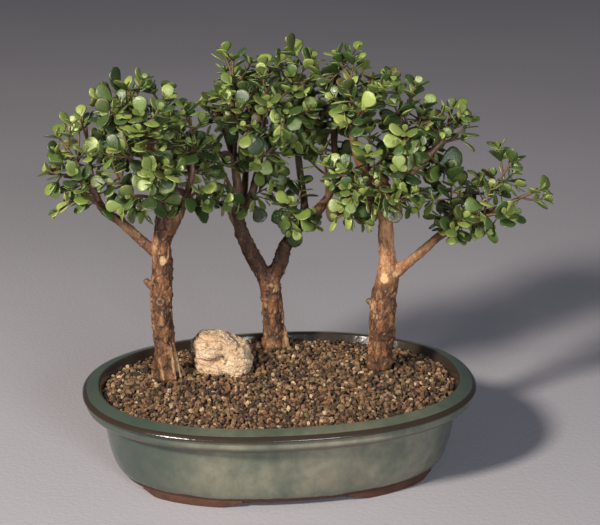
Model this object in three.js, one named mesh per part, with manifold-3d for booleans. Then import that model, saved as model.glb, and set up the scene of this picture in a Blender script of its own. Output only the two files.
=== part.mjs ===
// Three dwarf jade trees grown as a small grove in an oval glazed pot, with a gravel top and one pale rock.
// Millimetres, +Z up. Everything is drawn round the pot's middle, and the grove is then centred on the origin.

import * as THREE from 'three';
import { mergeVertices } from 'three/addons/utils/BufferGeometryUtils.js';
import Module from 'manifold-3d';

const wasm = await Module();
wasm.setup();

// Pot
const potLength = 254;
const potDepth = 190;
const potHeight = 57;
const ovalPower = 2.24; // 2 is a plain ellipse, and more squares its ends
const potSides = 36;
const footHeight = 3.5;
const footWidth = 9;
const footInset = 22.6;
const footMiddle = 52; // degrees round from the long axis
const footHalfAngle = 22;
const footStations = 6;
const footSlope = 2.9; // how far the two ends of a foot rise
const footSink = 1.5; // how far a foot runs up into the base
const drainRadius = 7;
const drainSpacing = 110;
const drainSides = 12;

// The pot's wall, outside from the base up and inside from the rim down: distance in from the rim's edge, height
const potOutside = [
  [24, footHeight], [19.6, 9], [16.2, 20], [12.9, 40.5], [11, 42.6], [5, 45], [2, 48.4], [2.6, 52], [0, 54.6],
  [2.3, potHeight],
];
const potInside = [[10.6, potHeight], [11.9, 56.2], [16, 47], [21.2, 26], [24.4, 15], [31, 10.5]];
const floorHeight = potInside.at(-1)[1];

// Filling
const fitGap = 0.35;
const soilTop = 46;
const gravelEdge = 51.5;
const gravelMound = 4.5;
const trunkMound = 3;
const trunkMoundSpread = 25;
const pebblePitch = 9.2;
const pebbleRelief = 3;
const pebbleShift = 0.5; // how far a pebble may stray, in pitches
const pebbleLeast = 0.35; // the lowest pebble against the highest
const pebbleSeed = 41;
const meshLength = 146;
const meshWidth = 24;
const meshThickness = 1.2;
const meshCells = 9;
const meshBar = 4;

// Rock
const rockCentre = [-34.5, 27, 64.5];
const rockHalfSize = [20.5, 15.5, 17];
const rockFlatBelow = 10;
const rockDetail = 2;
const rockFit = 1.03;
const rockLedge = 0.06;
const rockLedgeCount = 11;
const rockPits = 0.16;
const rockSeed = 7;

// Wood
const rootBottom = 26;
const rootRadius = 9.2;
const rootSides = 8;
const limbSides = 5;
const barkRelief = 0.06;
const barkSeed = 900;
const twigSides = 3;
const twigRadius = [1.8, 1.25];
const bareTwig = 3;
const armLean = 0.1; // how far an arm leans along its limb, in lengths of the arm
const armRise = 0.05;

// Leafy stems
const stemHalfWidth = [1.05, 0.7];
const pairPitch = 8.2;
const fewestPairs = 2;
const mostPairs = 3;
const firstPair = 0.1; // shares of the stem
const lastPair = 0.9;
const sprayGap = 0.3;
const mostShoots = 2;
const shootPairs = 2;
const shootFirstPair = 0.5;
const shootHalfWidth = [0.8, 0.6];
const shootLength = [20, 13]; // low and high on the stem
const shootTries = [1, 0.8, 0.65];
const shootSpread = 52; // degrees between a side shoot and its stem
const shootRise = 0.25;
const shootClearance = 3;
const budLength = 0.6;
const spraySeed = 100;

// Leaves
const leafLength = 15.8;
const leafBulge = 1.4;
const leafMiddle = 0.58; // share of the blade's length
const leafHalfSpan = 0.5;
const leafRim = [[0.36, -0.36, 0.02], [0.77, -0.43, 0.05], [1.04, 0, 0.01], [0.77, 0.43, 0.05], [0.36, 0.36, 0.02]];
const leafRootHalfHeight = 0.8;
const leafShrink = [1.05, 0.65]; // low and high on the stem
const leafSizes = [0.85, 1.12];
const shootLeafSize = 0.85;
const leafSpread = [74, 42]; // degrees between a leaf and its stem, low and high on it
const leastSpread = 30;
const spreadPlay = 8;
const turnPlay = 7;
const rollPlay = 14;
const levelShare = 0.75; // how far a leaf rolls to turn its upper side to the sky
const levelMost = 38;
const leafClearance = 0.9;
const leafTries = [[0, 1], [-14, 1], [12, 1], [-28, 0.95], [22, 0.9], [0, 0.8], [-20, 0.8], [0, 0.65]]; // tilt, size

// Each limb is a row of x, y, z and radius. Each tip under it is the far end of a leafy spray, x, y and z,
// and how far along the limb its twig starts.
const trees = {
  left: {
    limbs: {
      trunk: [[-71, 14, 58, 9.2], [-72, 14, 63, 7.9], [-73, 14, 78, 6.9], [-74, 14, 96, 6.9], [-74, 14, 112, 7],
        [-73, 14, 129, 6.7], [-73, 14, 143, 6], [-72, 14, 159, 4.9], [-72, 14, 176, 3.8], [-76, 13, 194, 2.9],
        [-80, 14, 212, 2.3]],
      low: [[-73, 14, 137, 4], [-87, 15, 150, 3.3], [-98, 16, 161, 3], [-109, 16, 170, 2.7], [-115, 16, 184, 2.2]],
      right: [[-72, 14, 146, 4], [-66, 13, 157, 3.5], [-61, 12, 168, 3], [-56, 12, 180, 2.5], [-53, 12, 193, 2.1]],
      front: [[-72, 14, 166, 3.4], [-75, 4, 177, 2.7], [-79, -4, 190, 2.1]],
      back: [[-72, 14, 162, 3.4], [-74, 26, 173, 2.7], [-79, 36, 185, 2.1]],
      stub: [[-75, 14, 116, 2.8], [-81, 15, 119, 2.4], [-84, 15, 123, 2]],
    },
    tips: {
      trunk: [[-92, 16, 246, 1], [-102, 8, 239, 0.9], [-67, 20, 243, 0.95], [-86, -16, 236, 0.85]],
      low: [[-135, 22, 216, 1], [-134, 10, 201, 0.85], [-117, 32, 221, 0.95], [-122, 0, 187, 0.7]],
      right: [[-54, 15, 232, 1], [-49, 38, 203, 0.7], [-50, -8, 186, 0.55]],
      front: [[-101, -26, 218, 1], [-109, -16, 194, 0.85], [-76, -26, 217, 1], [-92, -12, 185, 0.5]],
      back: [[-111, 48, 206, 1], [-66, 52, 216, 0.85]],
    },
  },
  centre: {
    limbs: {
      trunk: [[5, 61, 58, 9.2], [4, 61, 63, 8], [4, 61, 76, 7.3], [3, 61, 90, 7.1], [1, 61, 103, 7.6]],
      left: [[1, 61, 101, 6], [-7, 62, 116, 5.5], [-13, 63, 128, 5.1], [-17, 63, 139, 4.6], [-19, 63, 152, 3.9],
        [-19, 63, 167, 3.2], [-21, 64, 184, 2.5], [-22, 64, 201, 2]],
      leftStub: [[-17, 63, 138, 2.8], [-22, 64, 146, 2.3], [-25, 64, 153, 1.9]],
      inner: [[-18, 63, 150, 3.4], [-11, 62, 161, 2.9], [-7, 62, 174, 2.6], [-4, 61, 191, 2.3], [-2, 61, 209, 2]],
      right: [[2, 61, 102, 6], [8, 60, 115, 5.3], [12, 59, 127, 4.8], [18, 58, 137, 4.3], [26, 57, 146, 3.8],
        [36, 55, 156, 3.2], [42, 54, 168, 2.6], [44, 54, 187, 2.3], [43, 54, 203, 2]],
      middle: [[25, 57, 145, 3.4], [25, 63, 158, 2.7], [23, 68, 177, 2.4], [21, 67, 197, 2.2], [21, 65, 214, 2]],
      back: [[-18, 63, 148, 3.2], [-14, 74, 160, 2.6], [-11, 84, 175, 2.2], [-10, 89, 187, 2]],
    },
    tips: {
      left: [[-21, 65, 253, 1], [-36, 58, 227, 0.85], [-22, 26, 230, 0.85], [-42, 50, 204, 0.6]],
      inner: [[-1, 68, 248, 1], [-4, 22, 234, 1], [-14, 28, 200, 0.55], [-10, 44, 160, 0.3]],
      right: [[42, 53, 235, 1], [50, 78, 205, 0.85], [33, 40, 196, 0.7], [12, 38, 164, 0.42]],
      middle: [[18, 58, 251, 1], [9, 24, 229, 0.8], [32, 94, 220, 0.9]],
      back: [[-9, 98, 231, 1]],
    },
  },
  right: {
    limbs: {
      trunk: [[67, 11, 58, 9.2], [67, 10, 64, 8.8], [68, 9, 78, 8.4], [68, 8, 92, 8.5], [69, 8, 106, 8.2],
        [71, 8, 119, 7.4], [71, 8, 131, 5.6], [70, 8, 144, 5], [69, 8, 160, 4.8]],
      upLeft: [[69, 8, 158, 4.6], [62, 9, 177, 3.5], [54, 9, 192, 2.9], [49, 9, 206, 2.5], [46, 11, 224, 2.1]],
      up: [[70, 8, 157, 4.4], [78, 5, 171, 3.4], [82, 4, 190, 2.6], [84, 6, 208, 2.1]],
      shoulder: [[82, 5, 186, 2.6], [95, 5, 199, 2.3], [104, 6, 208, 2]],
      low: [[71, 8, 117, 4.6], [79, 5, 126, 3.7], [86, 3, 132, 3.2], [94, 1, 140, 3], [101, -1, 147, 2.9],
        [110, -3, 154, 2.6], [122, -6, 161, 2.3], [138, -9, 167, 2]],
      droop: [[69, 8, 158, 3.4], [60, 0, 168, 2.7], [50, -6, 175, 2.2]],
      back: [[70, 8, 156, 3.6], [76, 19, 170, 2.8], [83, 30, 183, 2.2]],
      front: [[70, 8, 158, 3.4], [72, -3, 172, 2.4]],
      stub: [[70, 8, 158, 3.2], [76, 7, 165, 2.5], [79, 6, 169, 2.1]],
      scarLeft: [[67, 8, 100, 3], [60, 8, 103, 2.1], [58, 8, 105, 1.8]],
    },
    tips: {
      upLeft: [[48, 12, 259, 1], [58, 2, 250, 0.95], [46, -28, 239, 0.75], [52, -18, 208, 0.3]],
      up: [[77, 13, 238, 1], [93, 3, 231, 1], [72, -32, 224, 0.7]],
      shoulder: [[109, 0, 231, 1], [117, 8, 209, 0.9], [103, 16, 188, 0.55]],
      low: [[164, -14, 180, 1], [147, -6, 197, 0.85], [144, -24, 168, 0.8], [112, -24, 166, 0.6], [120, 14, 177, 0.6]],
      droop: [[39, -13, 174, 0.9], [38, -20, 200, 1]],
      back: [[101, 42, 206, 1]],
      front: [[69, -30, 200, 1]],
    },
  },
};

// Finishes
const materials = {
  glaze: new THREE.MeshStandardMaterial({ color: 0x5d6f62, roughness: 0.3, metalness: 0 }),
  soil: new THREE.MeshStandardMaterial({ color: 0x3a2a1e, roughness: 0.95, metalness: 0 }),
  gravel: new THREE.MeshStandardMaterial({ color: 0x6f5540, roughness: 0.9, metalness: 0 }),
  rock: new THREE.MeshStandardMaterial({ color: 0xe3cfb4, roughness: 0.9, metalness: 0 }),
  bark: new THREE.MeshStandardMaterial({ color: 0x7a543a, roughness: 0.8, metalness: 0 }),
  leaf: new THREE.MeshStandardMaterial({ color: 0x5c7f32, roughness: 0.35, metalness: 0 }),
  mesh: new THREE.MeshStandardMaterial({ color: 0x22262a, roughness: 0.6, metalness: 0 }),
};

const up = new THREE.Vector3(0, 0, 1);
const vector = (values) => new THREE.Vector3(values[0], values[1], values[2]);
const radians = THREE.MathUtils.degToRad;
const lerp = THREE.MathUtils.lerp;

// A repeatable run of numbers from 0 to 1
function seededRandom(seed) {
  let state = seed >>> 0;
  return () => {
    state = (state + 0x6d2b79f5) >>> 0;
    let mixed = Math.imul(state ^ (state >>> 15), state | 1);
    mixed ^= mixed + Math.imul(mixed ^ (mixed >>> 7), mixed | 61);
    return ((mixed ^ (mixed >>> 14)) >>> 0) / 4294967296;
  };
}

// Joins and cuts
function toSolid(geometry) {
  const bare = geometry.clone();
  bare.deleteAttribute('normal');
  bare.deleteAttribute('uv');
  const merged = mergeVertices(bare, 1e-4);
  return new wasm.Manifold(new wasm.Mesh({
    numProp: 3,
    vertProperties: new Float32Array(merged.attributes.position.array),
    triVerts: new Uint32Array(merged.index.array),
  }));
}

function toGeometry(solid) {
  const mesh = solid.getMesh();
  const geometry = new THREE.BufferGeometry();
  geometry.setAttribute('position', new THREE.BufferAttribute(mesh.vertProperties, 3));
  geometry.setIndex(new THREE.BufferAttribute(mesh.triVerts, 1));
  return geometry;
}

function namedMesh(name, solid, material) {
  const mesh = new THREE.Mesh(toGeometry(solid), material);
  mesh.name = name;
  return mesh;
}

// A closed skin over a stack of rings that all have the same number of points
function loft(rings) {
  const sides = rings[0].length;
  const points = rings.flat();
  const faces = [];
  for (let row = 0; row < rings.length - 1; row += 1) {
    for (let side = 0; side < sides; side += 1) {
      const next = (side + 1) % sides;
      const low = row * sides;
      const high = low + sides;
      faces.push(low + side, low + next, high + next, low + side, high + next, high + side);
    }
  }
  const last = (rings.length - 1) * sides;
  for (let side = 1; side < sides - 1; side += 1) {
    faces.push(0, side + 1, side, last, last + side, last + side + 1);
  }
  return new THREE.BufferGeometry().setFromPoints(points).setIndex(faces);
}

// A tapered tube with flat ends. Its section keeps its turn from ring to ring, starting from the given side.
function taperedTube(points, radii, sides, side, roughen = () => 1) {
  const across = side.clone();
  const rings = points.map((point, index) => {
    const before = points[Math.max(index - 1, 0)];
    const after = points[Math.min(index + 1, points.length - 1)];
    const along = after.clone().sub(before).normalize();
    across.addScaledVector(along, -across.dot(along)).normalize();
    const third = along.clone().cross(across);
    return Array.from({ length: sides }, (_, corner) => {
      const angle = (2 * Math.PI * (corner + 0.5)) / sides;
      const radius = radii[index] * roughen(index, corner);
      return point.clone()
        .addScaledVector(across, radius * Math.cos(angle))
        .addScaledVector(third, radius * Math.sin(angle));
    });
  });
  return loft(rings);
}

// Pot
function ovalPoint(angle, inset, height) {
  const c = Math.cos(angle);
  const s = Math.sin(angle);
  const x = (potLength / 2 - inset) * Math.sign(c) * Math.abs(c) ** (2 / ovalPower);
  const y = (potDepth / 2 - inset) * Math.sign(s) * Math.abs(s) ** (2 / ovalPower);
  return new THREE.Vector3(x, y, height);
}

function ovalRing(inset, height) {
  return Array.from({ length: potSides }, (_, side) => ovalPoint((2 * Math.PI * side) / potSides, inset, height));
}

function insideInset(height) {
  const upper = potInside.findLastIndex((point) => point[1] >= height);
  const [highInset, high] = potInside[upper];
  const [lowInset, low] = potInside[upper + 1];
  return lerp(lowInset, highInset, (height - low) / (high - low));
}

// One low foot, a curved bar under the wall whose ends slope up to the base
function makeFoot(middleAngle) {
  const rings = Array.from({ length: footStations }, (_, station) => {
    const turn = lerp(-1, 1, station / (footStations - 1));
    const angle = radians(middleAngle + footHalfAngle * turn);
    const isEnd = station === 0 || station === footStations - 1;
    const bottom = isEnd ? footSlope : 0;
    const top = footHeight + footSink;
    return [
      ovalPoint(angle, footInset, bottom),
      ovalPoint(angle, footInset + footWidth, bottom),
      ovalPoint(angle, footInset + footWidth, top),
      ovalPoint(angle, footInset, top),
    ];
  });
  return toSolid(loft(rings));
}

function makePot() {
  const profile = [...potOutside, ...potInside];
  let pot = toSolid(loft(profile.map(([inset, height]) => ovalRing(inset, height))));
  for (const angle of [footMiddle, 180 - footMiddle, 180 + footMiddle, 360 - footMiddle]) {
    pot = pot.add(makeFoot(angle));
  }
  for (const side of [-1, 1]) {
    const drain = new THREE.CylinderGeometry(drainRadius, drainRadius, 2 * floorHeight, drainSides);
    drain.rotateX(Math.PI / 2).translate((side * drainSpacing) / 2, 0, floorHeight);
    pot = pot.subtract(toSolid(drain));
  }
  return pot;
}

// The plastic mesh strip that lies over both drain holes
function makeDrainMesh() {
  let strip = toSolid(new THREE.BoxGeometry(meshLength, meshWidth, meshThickness));
  const cellLength = (meshLength - meshBar) / meshCells - meshBar;
  for (let cell = 0; cell < meshCells; cell += 1) {
    const x = (cell - (meshCells - 1) / 2) * (cellLength + meshBar);
    const opening = new THREE.BoxGeometry(cellLength, meshWidth - 2 * meshBar, 2 * meshThickness);
    strip = strip.subtract(toSolid(opening.translate(x, 0, 0)));
  }
  return strip.translate(0, 0, floorHeight + fitGap + meshThickness / 2);
}

// Filling
const trunkRoots = Object.values(trees).map((tree) => vector(tree.limbs.trunk[0]));

function rootPlug(root, extra) {
  const radius = rootRadius + extra;
  const bottom = rootBottom - extra;
  const plug = new THREE.CylinderGeometry(radius, radius, root.z - bottom, rootSides);
  plug.rotateX(Math.PI / 2).rotateZ(Math.PI / rootSides);
  return plug.translate(root.x, root.y, (root.z + bottom) / 2);
}

function rootHole(root) {
  const hole = rootPlug(root.clone().setZ(2 * potHeight), fitGap);
  return toSolid(hole);
}

function gravelLevel(x, y) {
  const out = Math.hypot(x / (potLength / 2), y / (potDepth / 2));
  let level = gravelEdge + gravelMound * (1 - Math.min(out, 1) ** 4);
  for (const root of trunkRoots) {
    const away = Math.hypot(x - root.x, y - root.y) / trunkMoundSpread;
    level += trunkMound * Math.exp(-away * away);
  }
  return level;
}

function makeSoil() {
  const sides = potInside.filter(([, height]) => height < soilTop && height > floorHeight).reverse();
  const rings = sides.map(([inset, height]) => ovalRing(inset + fitGap, height));
  rings.unshift(ovalRing(potInside.at(-1)[0] + fitGap, floorHeight + fitGap));
  rings.push(ovalRing(insideInset(soilTop) + fitGap, soilTop));
  let soil = toSolid(loft(rings));
  const recess = new THREE.BoxGeometry(meshLength + 2 * fitGap, meshWidth + 2 * fitGap, 2 * (meshThickness + fitGap));
  soil = soil.subtract(toSolid(recess.translate(0, 0, floorHeight + fitGap)));
  for (const root of trunkRoots) {
    soil = soil.subtract(rootHole(root));
  }
  return soil;
}

// A slab whose top is a field of low four-sided pebbles, each a raised point among lower ones
function pebbleField() {
  const random = seededRandom(pebbleSeed);
  const columns = Math.ceil(potLength / pebblePitch);
  const rows = Math.ceil(potDepth / pebblePitch);
  const points = [];
  for (let row = 0; row <= rows; row += 1) {
    for (let column = 0; column <= columns; column += 1) {
      const isPeak = (row + column) % 2 === 0;
      const x = (column - columns / 2 + pebbleShift * (random() - 0.5)) * pebblePitch;
      const y = (row - rows / 2 + pebbleShift * (random() - 0.5)) * pebblePitch;
      const rise = (isPeak ? 1 : -1) * lerp(pebbleLeast, 1, random());
      points.push(new THREE.Vector3(x, y, gravelLevel(x, y) + (rise * pebbleRelief) / 2));
    }
  }
  const at = (column, row) => row * (columns + 1) + column;
  const faces = [];
  for (let row = 0; row < rows; row += 1) {
    for (let column = 0; column < columns; column += 1) {
      const a = at(column, row);
      const b = at(column + 1, row);
      const c = at(column + 1, row + 1);
      const d = at(column, row + 1);
      const isPeak = (row + column) % 2 === 0;
      faces.push(...(isPeak ? [a, b, d, b, c, d] : [a, b, c, a, c, d]));
    }
  }
  const edge = [
    ...Array.from({ length: columns }, (_, i) => at(i, 0)),
    ...Array.from({ length: rows }, (_, i) => at(columns, i)),
    ...Array.from({ length: columns }, (_, i) => at(columns - i, rows)),
    ...Array.from({ length: rows }, (_, i) => at(0, rows - i)),
  ];
  const bottom = points.length;
  edge.forEach((index) => points.push(points[index].clone().setZ(0)));
  const middle = points.push(new THREE.Vector3(0, 0, 0)) - 1;
  edge.forEach((index, i) => {
    const next = (i + 1) % edge.length;
    faces.push(bottom + i, edge[next], index, bottom + i, bottom + next, edge[next], middle, bottom + next, bottom + i);
  });
  return toSolid(new THREE.BufferGeometry().setFromPoints(points).setIndex(faces));
}

function makeGravel() {
  const lip = potInside[1][1];
  const rings = [soilTop + fitGap, lip, 2 * potHeight].map((height) => {
    return ovalRing(insideInset(Math.min(height, lip)) + fitGap, height);
  });
  let gravel = toSolid(loft(rings)).intersect(pebbleField());
  for (const root of trunkRoots) {
    gravel = gravel.subtract(rootHole(root));
  }
  const seat = toSolid(rockShape().scale(rockFit, rockFit, rockFit).translate(...rockCentre));
  return gravel.subtract(seat);
}

// A pitted, layered lump with a flat underside, drawn round its own middle
function rockShape() {
  const ball = new THREE.IcosahedronGeometry(1, rockDetail).deleteAttribute('normal').deleteAttribute('uv');
  const lump = mergeVertices(ball);
  const random = seededRandom(rockSeed);
  const position = lump.attributes.position;
  const [halfLength, halfDepth, halfHeight] = rockHalfSize;
  for (let index = 0; index < position.count; index += 1) {
    const point = new THREE.Vector3().fromBufferAttribute(position, index);
    const ledge = rockLedge * Math.sin(rockLedgeCount * point.z + 2.5 * point.x);
    const blockiness = 1.1 - 0.2 * Math.abs(point.z);
    point.multiplyScalar((0.9 + ledge + rockPits * (random() - 0.5)) * blockiness);
    const height = Math.max(point.z * halfHeight, -rockFlatBelow);
    position.setXYZ(index, point.x * halfLength, point.y * halfDepth, height);
  }
  return lump;
}

// Wood
function onLimb(rows, share) {
  const place = share * (rows.length - 1);
  const index = Math.min(Math.floor(place), rows.length - 2);
  const from = vector(rows[index]);
  const to = vector(rows[index + 1]);
  return {
    point: from.clone().lerp(to, place - index),
    along: to.clone().sub(from).normalize(),
    radius: lerp(rows[index][3], rows[index + 1][3], place - index),
  };
}

function sideOf(direction) {
  const reference = Math.abs(direction.z) > 0.8 ? new THREE.Vector3(1, 0, 0) : up;
  return reference.clone().addScaledVector(direction, -reference.dot(direction)).normalize();
}

function limbSolid(rows, sides, seed) {
  const random = seededRandom(seed);
  const points = rows.map(vector);
  const start = points[1].clone().sub(points[0]).normalize();
  const roughen = (index) => (index === 0 ? 1 : 1 + barkRelief * (2 * random() - 1));
  return toSolid(taperedTube(points, rows.map((row) => row[3]), sides, sideOf(start), roughen));
}

// A bent line from start to end that leans towards a middle point
function makeBend(start, middle, end) {
  const point = (share) => {
    const here = start.clone().multiplyScalar((1 - share) ** 2);
    return here.addScaledVector(middle, 2 * share * (1 - share)).addScaledVector(end, share ** 2);
  };
  const direction = (share) => {
    const here = middle.clone().sub(start).multiplyScalar(1 - share);
    return here.addScaledVector(end.clone().sub(middle), share).normalize();
  };
  const stops = [0, 0.25, 0.5, 0.75, 1].map(point);
  const length = stops.slice(1).reduce((sum, stop, index) => sum + stop.distanceTo(stops[index]), 0);
  return { start, end, length, point, direction, stops };
}

function pairShares(count, first) {
  return Array.from({ length: count }, (_, pair) => lerp(first, lastPair, pair / (count - 1)));
}

// The arm from a limb out to a tip is one bend: a bare twig and then the leafy stem of the spray
function planSpray(tree, limbName, tip, seed) {
  const limb = onLimb(tree.limbs[limbName], tip[3]);
  const end = vector(tip);
  const reach = limb.point.distanceTo(end);
  const middle = limb.point.clone().lerp(end, 0.5).addScaledVector(limb.along, armLean * reach);
  middle.z += armRise * reach;
  const arm = makeBend(limb.point, middle, end);
  const leafy = arm.length - limb.radius - bareTwig;
  const pairs = THREE.MathUtils.clamp(Math.floor(leafy / pairPitch), fewestPairs, mostPairs);
  const split = 1 - Math.min(pairs * pairPitch + 1, leafy) / arm.length;
  const base = arm.point(split);
  const first = limb.point.clone().lerp(middle, split);
  const second = middle.clone().lerp(end, split);
  const stemStart = base.clone().addScaledVector(arm.direction(split), sprayGap);
  const chord = end.clone().sub(base).normalize();
  const random = seededRandom(seed);
  return {
    twig: makeBend(limb.point, first, base),
    curve: makeBend(stemStart, second, end),
    side: sideOf(chord).applyAxisAngle(chord, 2 * Math.PI * random()),
    shares: pairShares(pairs, firstPair),
    halfWidth: stemHalfWidth,
    random,
  };
}

// The lines that leaves keep clear of: short straight pieces with a radius and an owner
function addLine(lines, points, radius, owner) {
  points.slice(1).forEach((to, index) => lines.push({ from: points[index], to, radius, owner }));
}

function distanceToLine(point, line) {
  const span = line.to.clone().sub(line.from);
  const share = THREE.MathUtils.clamp(point.clone().sub(line.from).dot(span) / span.lengthSq(), 0, 1);
  return line.from.clone().addScaledVector(span, share).distanceTo(point);
}

// Leaves
// A thick spoon-shaped blade that points along x: its edge from side to side, then the middle of its upper side
function bladePoints(length) {
  const rim = leafRim.map((point) => vector(point).multiplyScalar(length));
  return [...rim, new THREE.Vector3(leafMiddle * length, 0, leafBulge)];
}

// The leaf as a flat disc with test points on it, to keep leaves apart
function leafDisc(place, stem, spray) {
  const radius = leafHalfSpan * place.length;
  const centre = place.root.clone().addScaledVector(place.out, leafMiddle * place.length);
  const samples = [centre];
  for (const [count, share] of [[18, 1], [12, 0.65], [6, 0.3]]) {
    for (let index = 0; index < count; index += 1) {
      const angle = (2 * Math.PI * index) / count;
      samples.push(centre.clone()
        .addScaledVector(place.out, share * radius * Math.cos(angle))
        .addScaledVector(place.across, share * radius * Math.sin(angle)));
    }
  }
  return { root: place.root, centre, normal: place.normal, radius, samples, stem, spray };
}

function discHolds(disc, point, gap) {
  const offset = point.clone().sub(disc.centre);
  const height = Math.abs(offset.dot(disc.normal));
  const away = Math.sqrt(Math.max(offset.lengthSq() - height * height, 0));
  return height < leafBulge + gap && away < disc.radius + gap;
}

function discIsClear(disc, discs, lines) {
  for (const other of discs) {
    const gap = other.spray === disc.spray ? 0 : leafClearance;
    const isPartner = other.stem === disc.stem && other.root.distanceTo(disc.root) < 0.1;
    if (isPartner || other.centre.distanceTo(disc.centre) > disc.radius + other.radius + 2 * gap) continue;
    if (disc.samples.some((point) => discHolds(other, point, gap))) return false;
    if (other.samples.some((point) => discHolds(disc, point, gap))) return false;
  }
  for (const line of lines) {
    if (line.owner === disc.stem || distanceToLine(disc.centre, line) > 2 * disc.radius + line.radius) continue;
    const keepOff = line.radius + leafBulge;
    if (disc.samples.some((point) => distanceToLine(point, line) < keepOff)) return false;
  }
  return true;
}

function stemFrame(stem, share) {
  const along = stem.curve.direction(share);
  const across = stem.side.clone().addScaledVector(along, -stem.side.dot(along)).normalize();
  return { root: stem.curve.point(share), along, across, third: along.clone().cross(across) };
}

// The way out from a side of the stem, at a turn round it and a spread from it, and the upper side of what grows
function wayOut(frame, turn, spread) {
  const away = frame.across.clone().multiplyScalar(Math.cos(turn)).addScaledVector(frame.third, Math.sin(turn));
  const out = away.clone().multiplyScalar(Math.sin(spread)).addScaledVector(frame.along, Math.cos(spread));
  const normal = away.multiplyScalar(-Math.cos(spread)).addScaledVector(frame.along, Math.sin(spread));
  return { out, normal };
}

// A side shoot on a face of the stem, or nothing where it would meet another stem
function planShoot(spray, pair, face, lines) {
  const share = spray.shares[pair];
  const frame = stemFrame(spray, share);
  const { out } = wayOut(frame, radians(90 * face), radians(shootSpread));
  for (const size of shootTries) {
    const length = size * lerp(shootLength[0], shootLength[1], share);
    const middle = frame.root.clone().addScaledVector(out, 0.5 * length);
    const end = frame.root.clone().addScaledVector(out, 0.9 * length).addScaledVector(up, shootRise * length);
    const curve = makeBend(frame.root, middle, end);
    const isClear = curve.stops.slice(2).every((point) => lines.every((line) => {
      return line.owner === spray || distanceToLine(point, line) > line.radius + shootClearance;
    }));
    if (isClear) {
      const side = frame.along.clone().cross(out).normalize();
      const shares = pairShares(shootPairs, shootFirstPair);
      return { curve, side, pair, face, shares, halfWidth: shootHalfWidth, shoots: [] };
    }
  }
  return null;
}

function planShoots(spray, lines) {
  spray.shoots = [];
  for (let pair = 0; pair < spray.shares.length - 1 && spray.shoots.length < mostShoots; pair += 1) {
    const first = pair + (spray.random() < 0.5 ? 0 : 2);
    const shoot = planShoot(spray, pair, first % 4, lines) ?? planShoot(spray, pair, (first + 2) % 4, lines);
    if (shoot) {
      spray.shoots.push(shoot);
      addLine(lines, shoot.curve.stops, shootHalfWidth[0], shoot);
    }
  }
}

// How far a leaf rolls about its own length to lie level
function levelling(out, normal) {
  const sky = up.clone().addScaledVector(out, -up.dot(out));
  const turn = Math.atan2(normal.clone().cross(sky).dot(out), normal.dot(sky));
  return sky.length() * THREE.MathUtils.clamp(levelShare * turn, -radians(levelMost), radians(levelMost));
}

// One leaf on a face of the stem, or nothing where every tilt and size of it would touch another
function placeLeaf(stem, share, face, size, spray, discs, lines) {
  const { random } = spray;
  const frame = stemFrame(stem, share);
  const shrink = lerp(leafShrink[0], leafShrink[1], share * share);
  const length = size * leafLength * shrink * lerp(leafSizes[0], leafSizes[1], random());
  const spread = lerp(leafSpread[0], leafSpread[1], share) + spreadPlay * lerp(-1, 1, random());
  const turn = radians(90 * face + turnPlay * lerp(-1, 1, random()));
  const roll = radians(rollPlay * lerp(-1, 1, random()));
  for (const [tilt, scale] of leafTries) {
    const { out, normal } = wayOut(frame, turn, radians(Math.max(spread + tilt, leastSpread)));
    normal.applyAxisAngle(out, roll + levelling(out, normal));
    const place = { face, root: frame.root, out, normal, across: normal.clone().cross(out), length: length * scale };
    const disc = leafDisc(place, stem, spray);
    if (discIsClear(disc, discs, lines)) {
      discs.push(disc);
      return place;
    }
  }
  return null;
}

// Leaves stand in opposite pairs, each pair a quarter turn on from the last, smaller and steeper to the tip
function placeLeaves(stem, size, spray, discs, lines) {
  stem.growths = stem.shares.map((share, pair) => {
    const shoots = stem.shoots.filter((shoot) => shoot.pair === pair);
    const freeFaces = [pair % 4, (pair + 2) % 4].filter((face) => shoots.every((shoot) => shoot.face !== face));
    const leaves = freeFaces.map((face) => placeLeaf(stem, share, face, size, spray, discs, lines));
    return [...shoots, ...leaves.filter((leaf) => leaf !== null)];
  });
  for (const shoot of stem.shoots) {
    placeLeaves(shoot, size * shootLeafSize, spray, discs, lines);
  }
}

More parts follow.
